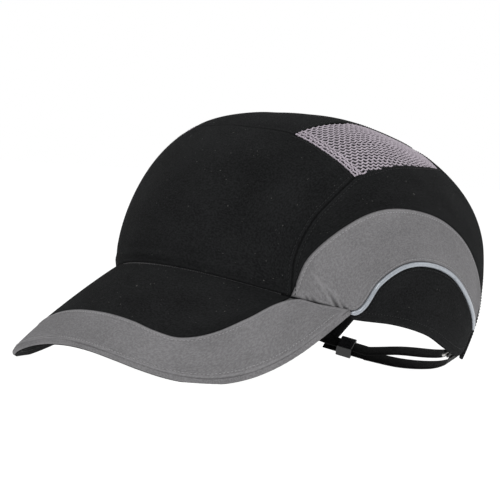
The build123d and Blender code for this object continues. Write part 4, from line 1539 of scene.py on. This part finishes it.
def make_stage():
    """A plain pale floor, soft light from above and both sides, and the three-quarter camera."""
    floor_mesh = bpy.data.meshes.new("floor")
    reach = 30.0
    corners = [(-reach, -reach, 0), (reach, -reach, 0), (reach, reach, 0), (-reach, reach, 0)]
    floor_mesh.from_pydata(corners, [], [(0, 1, 2, 3)])
    floor = bpy.data.objects.new("floor", floor_mesh)
    bpy.context.scene.collection.objects.link(floor)
    pale, wire, shader = new_finish("pale_floor")
    speckle = wire.noise(wire.node("TexCoord").outputs["Object"], 3.0)
    tone = wire.blend(speckle, (0.11, 0.11, 0.11, 1.0), (0.13, 0.13, 0.13, 1.0))
    wire.feed(shader, {"Base Color": tone, "Roughness": 1.0, "Specular IOR Level": 0.0})
    wire.feed(shader, {"Emission Color": (1.0, 1.0, 1.0, 1.0), "Emission Strength": 1.0})
    floor_mesh.materials.append(pale)
    world = bpy.data.worlds.new("studio")
    bpy.context.scene.world = world
    world.use_nodes = True
    sky = Wiring(world.node_tree)
    world.node_tree.nodes.clear()
    lit = sky.node("Background", {"Color": (1.0, 1.0, 1.0, 1.0), "Strength": 0.5})
    seen = sky.node("Background", {"Color": (1.0, 1.0, 1.0, 1.0), "Strength": 1.0})
    ray = sky.node("LightPath").outputs["Is Camera Ray"]
    mixed = sky.node("MixShader", {0: ray, 1: lit.outputs[0], 2: seen.outputs[0]})
    sky.node("OutputWorld", {"Surface": mixed.outputs[0]})
    area_light("key", (1.3, -0.6, 1.5), (0, 0, 0.06), 1.1, 11.0)
    area_light("fill", (-0.3, -1.7, 0.9), (0, 0, 0.06), 1.2, 4.0)
    area_light("top", (0.1, 0.3, 1.9), (0, 0, 0.06), 1.4, 7.0)
    area_light("back", (0.6, 1.6, 0.9), (0, 0, 0.06), 1.0, 3.0)
    bpy.context.scene.view_settings.view_transform = "Standard"
    turn, rise = radians(camera_turn), radians(camera_rise)
    back = np.array([sin(turn) * cos(rise), -cos(turn) * cos(rise), sin(rise)])
    right = np.array([cos(turn), sin(turn), 0.0])
    up = np.cross(back, right)
    spot = back * camera_distance - right * camera_side - up * camera_up
    origin = placed(np.zeros(3))
    axes = [(placed(axis * 1000.0) - origin) for axis in (right, up, back)]
    data = bpy.data.cameras.new("three_quarter_camera")
    data.lens = camera_lens
    data.sensor_width = 36.0
    data.clip_start = 0.1
    data.clip_end = 100.0
    camera = bpy.data.objects.new("three_quarter_camera", data)
    bpy.context.scene.collection.objects.link(camera)
    centre = placed(spot)
    rows = [[axes[0][k], axes[1][k], axes[2][k], centre[k]] for k in range(3)]
    camera.matrix_world = Matrix(rows + [[0, 0, 0, 1]])
    bpy.context.scene.camera = camera


# ---------------------------------------------------------------- operators
class CAP_OT_finishes(bpy.types.Operator):
    """Make the finishes of the cap"""

    bl_idname = "cap.finishes"
    bl_label = "Finishes"

    def execute(self, context):
        make_finishes()
        return {"FINISHED"}


class CAP_OT_black_panels(bpy.types.Operator):
    """Make the black front, top, side, rear and ear panels"""

    bl_idname = "cap.black_panels"
    bl_label = "Black panels"

    def execute(self, context):
        make_black_panels()
        return {"FINISHED"}


class CAP_OT_grey_panels(bpy.types.Operator):
    """Make the grey side panels"""

    bl_idname = "cap.grey_panels"
    bl_label = "Grey panels"

    def execute(self, context):
        make_grey_panels()
        return {"FINISHED"}


class CAP_OT_mesh_panels(bpy.types.Operator):
    """Knit the two open mesh panels"""

    bl_idname = "cap.mesh_panels"
    bl_label = "Mesh panels"

    def execute(self, context):
        make_mesh_panels()
        return {"FINISHED"}


class CAP_OT_side_piping(bpy.types.Operator):
    """Make the reflective piping on both sides"""

    bl_idname = "cap.side_piping"
    bl_label = "Reflective piping"

    def execute(self, context):
        make_side_piping()
        return {"FINISHED"}


class CAP_OT_arch_binding(bpy.types.Operator):
    """Bind the arched rear opening"""

    bl_idname = "cap.arch_binding"
    bl_label = "Arch binding"

    def execute(self, context):
        make_arch_binding()
        return {"FINISHED"}


class CAP_OT_seam_tapes(bpy.types.Operator):
    """Tape the front seams on the inside"""

    bl_idname = "cap.seam_tapes"
    bl_label = "Seam tapes"

    def execute(self, context):
        make_seam_tapes()
        return {"FINISHED"}


class CAP_OT_cover_stitching(bpy.types.Operator):
    """Sew the rows of stitches on the cover"""

    bl_idname = "cap.cover_stitching"
    bl_label = "Cover stitching"

    def execute(self, context):
        make_cover_stitching()
        return {"FINISHED"}


class CAP_OT_sweatband(bpy.types.Operator):
    """Make the towelling sweatband"""

    bl_idname = "cap.sweatband"
    bl_label = "Sweatband"

    def execute(self, context):
        make_sweatband()
        return {"FINISHED"}


class CAP_OT_pads(bpy.types.Operator):
    """Make the foam pads inside the shell"""

    bl_idname = "cap.pads"
    bl_label = "Foam pads"

    def execute(self, context):
        make_pads()
        return {"FINISHED"}


class CAP_OT_peak(bpy.types.Operator):
    """Make the peak's cloth layers and their stitching"""

    bl_idname = "cap.peak"
    bl_label = "Peak"

    def execute(self, context):
        make_peak()
        return {"FINISHED"}


class CAP_OT_edge_piping(bpy.types.Operator):
    """Roll the piping round the edge of the peak"""

    bl_idname = "cap.edge_piping"
    bl_label = "Peak edge piping"

    def execute(self, context):
        make_edge_piping()
        return {"FINISHED"}


class CAP_OT_strap(bpy.types.Operator):
    """Make the adjusting strap and the tab that holds its ring"""

    bl_idname = "cap.strap"
    bl_label = "Strap"

    def execute(self, context):
        make_strap()
        return {"FINISHED"}


class CAP_OT_hard_parts(bpy.types.Operator):
    """Finish the shell, the peak board, the slider and the ring"""

    bl_idname = "cap.hard_parts"
    bl_label = "Hard parts"

    def execute(self, context):
        make_hard_parts()
        return {"FINISHED"}


class CAP_OT_stage(bpy.types.Operator):
    """Set up the floor, the lights and the camera"""

    bl_idname = "cap.stage"
    bl_label = "Stage"

    def execute(self, context):
        make_stage()
        return {"FINISHED"}


operators = (
    CAP_OT_finishes, CAP_OT_black_panels, CAP_OT_grey_panels, CAP_OT_mesh_panels, CAP_OT_side_piping,
    CAP_OT_arch_binding, CAP_OT_seam_tapes, CAP_OT_cover_stitching, CAP_OT_sweatband, CAP_OT_pads,
    CAP_OT_peak, CAP_OT_edge_piping, CAP_OT_strap, CAP_OT_hard_parts, CAP_OT_stage,
)


class CAP_PT_panel(bpy.types.Panel):
    """Sizes, colours and steps of the bump cap"""

    bl_idname = "CAP_PT_panel"
    bl_label = "Bump cap"
    bl_space_type = "VIEW_3D"
    bl_region_type = "UI"
    bl_category = "Bump cap"

    def draw(self, context):
        for group in (context.scene.cap_sizes, context.scene.cap_colours):
            for key in group.__annotations__:
                self.layout.prop(group, key)
        for step in operators:
            self.layout.operator(step.bl_idname)


classes = (CapSizes, CapColours) + operators + (CAP_PT_panel,)


def register():
    for made in classes:
        bpy.utils.register_class(made)
    bpy.types.Scene.cap_sizes = PointerProperty(type=CapSizes)
    bpy.types.Scene.cap_colours = PointerProperty(type=CapColours)


def unregister():
    del bpy.types.Scene.cap_colours
    del bpy.types.Scene.cap_sizes
    for made in reversed(classes):
        bpy.utils.unregister_class(made)


def main():
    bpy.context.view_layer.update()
    register()
    for step in operators:
        group, action = step.bl_idname.split(".")
        getattr(getattr(bpy.ops, group), action)()


if __name__ == "__main__":
    main()
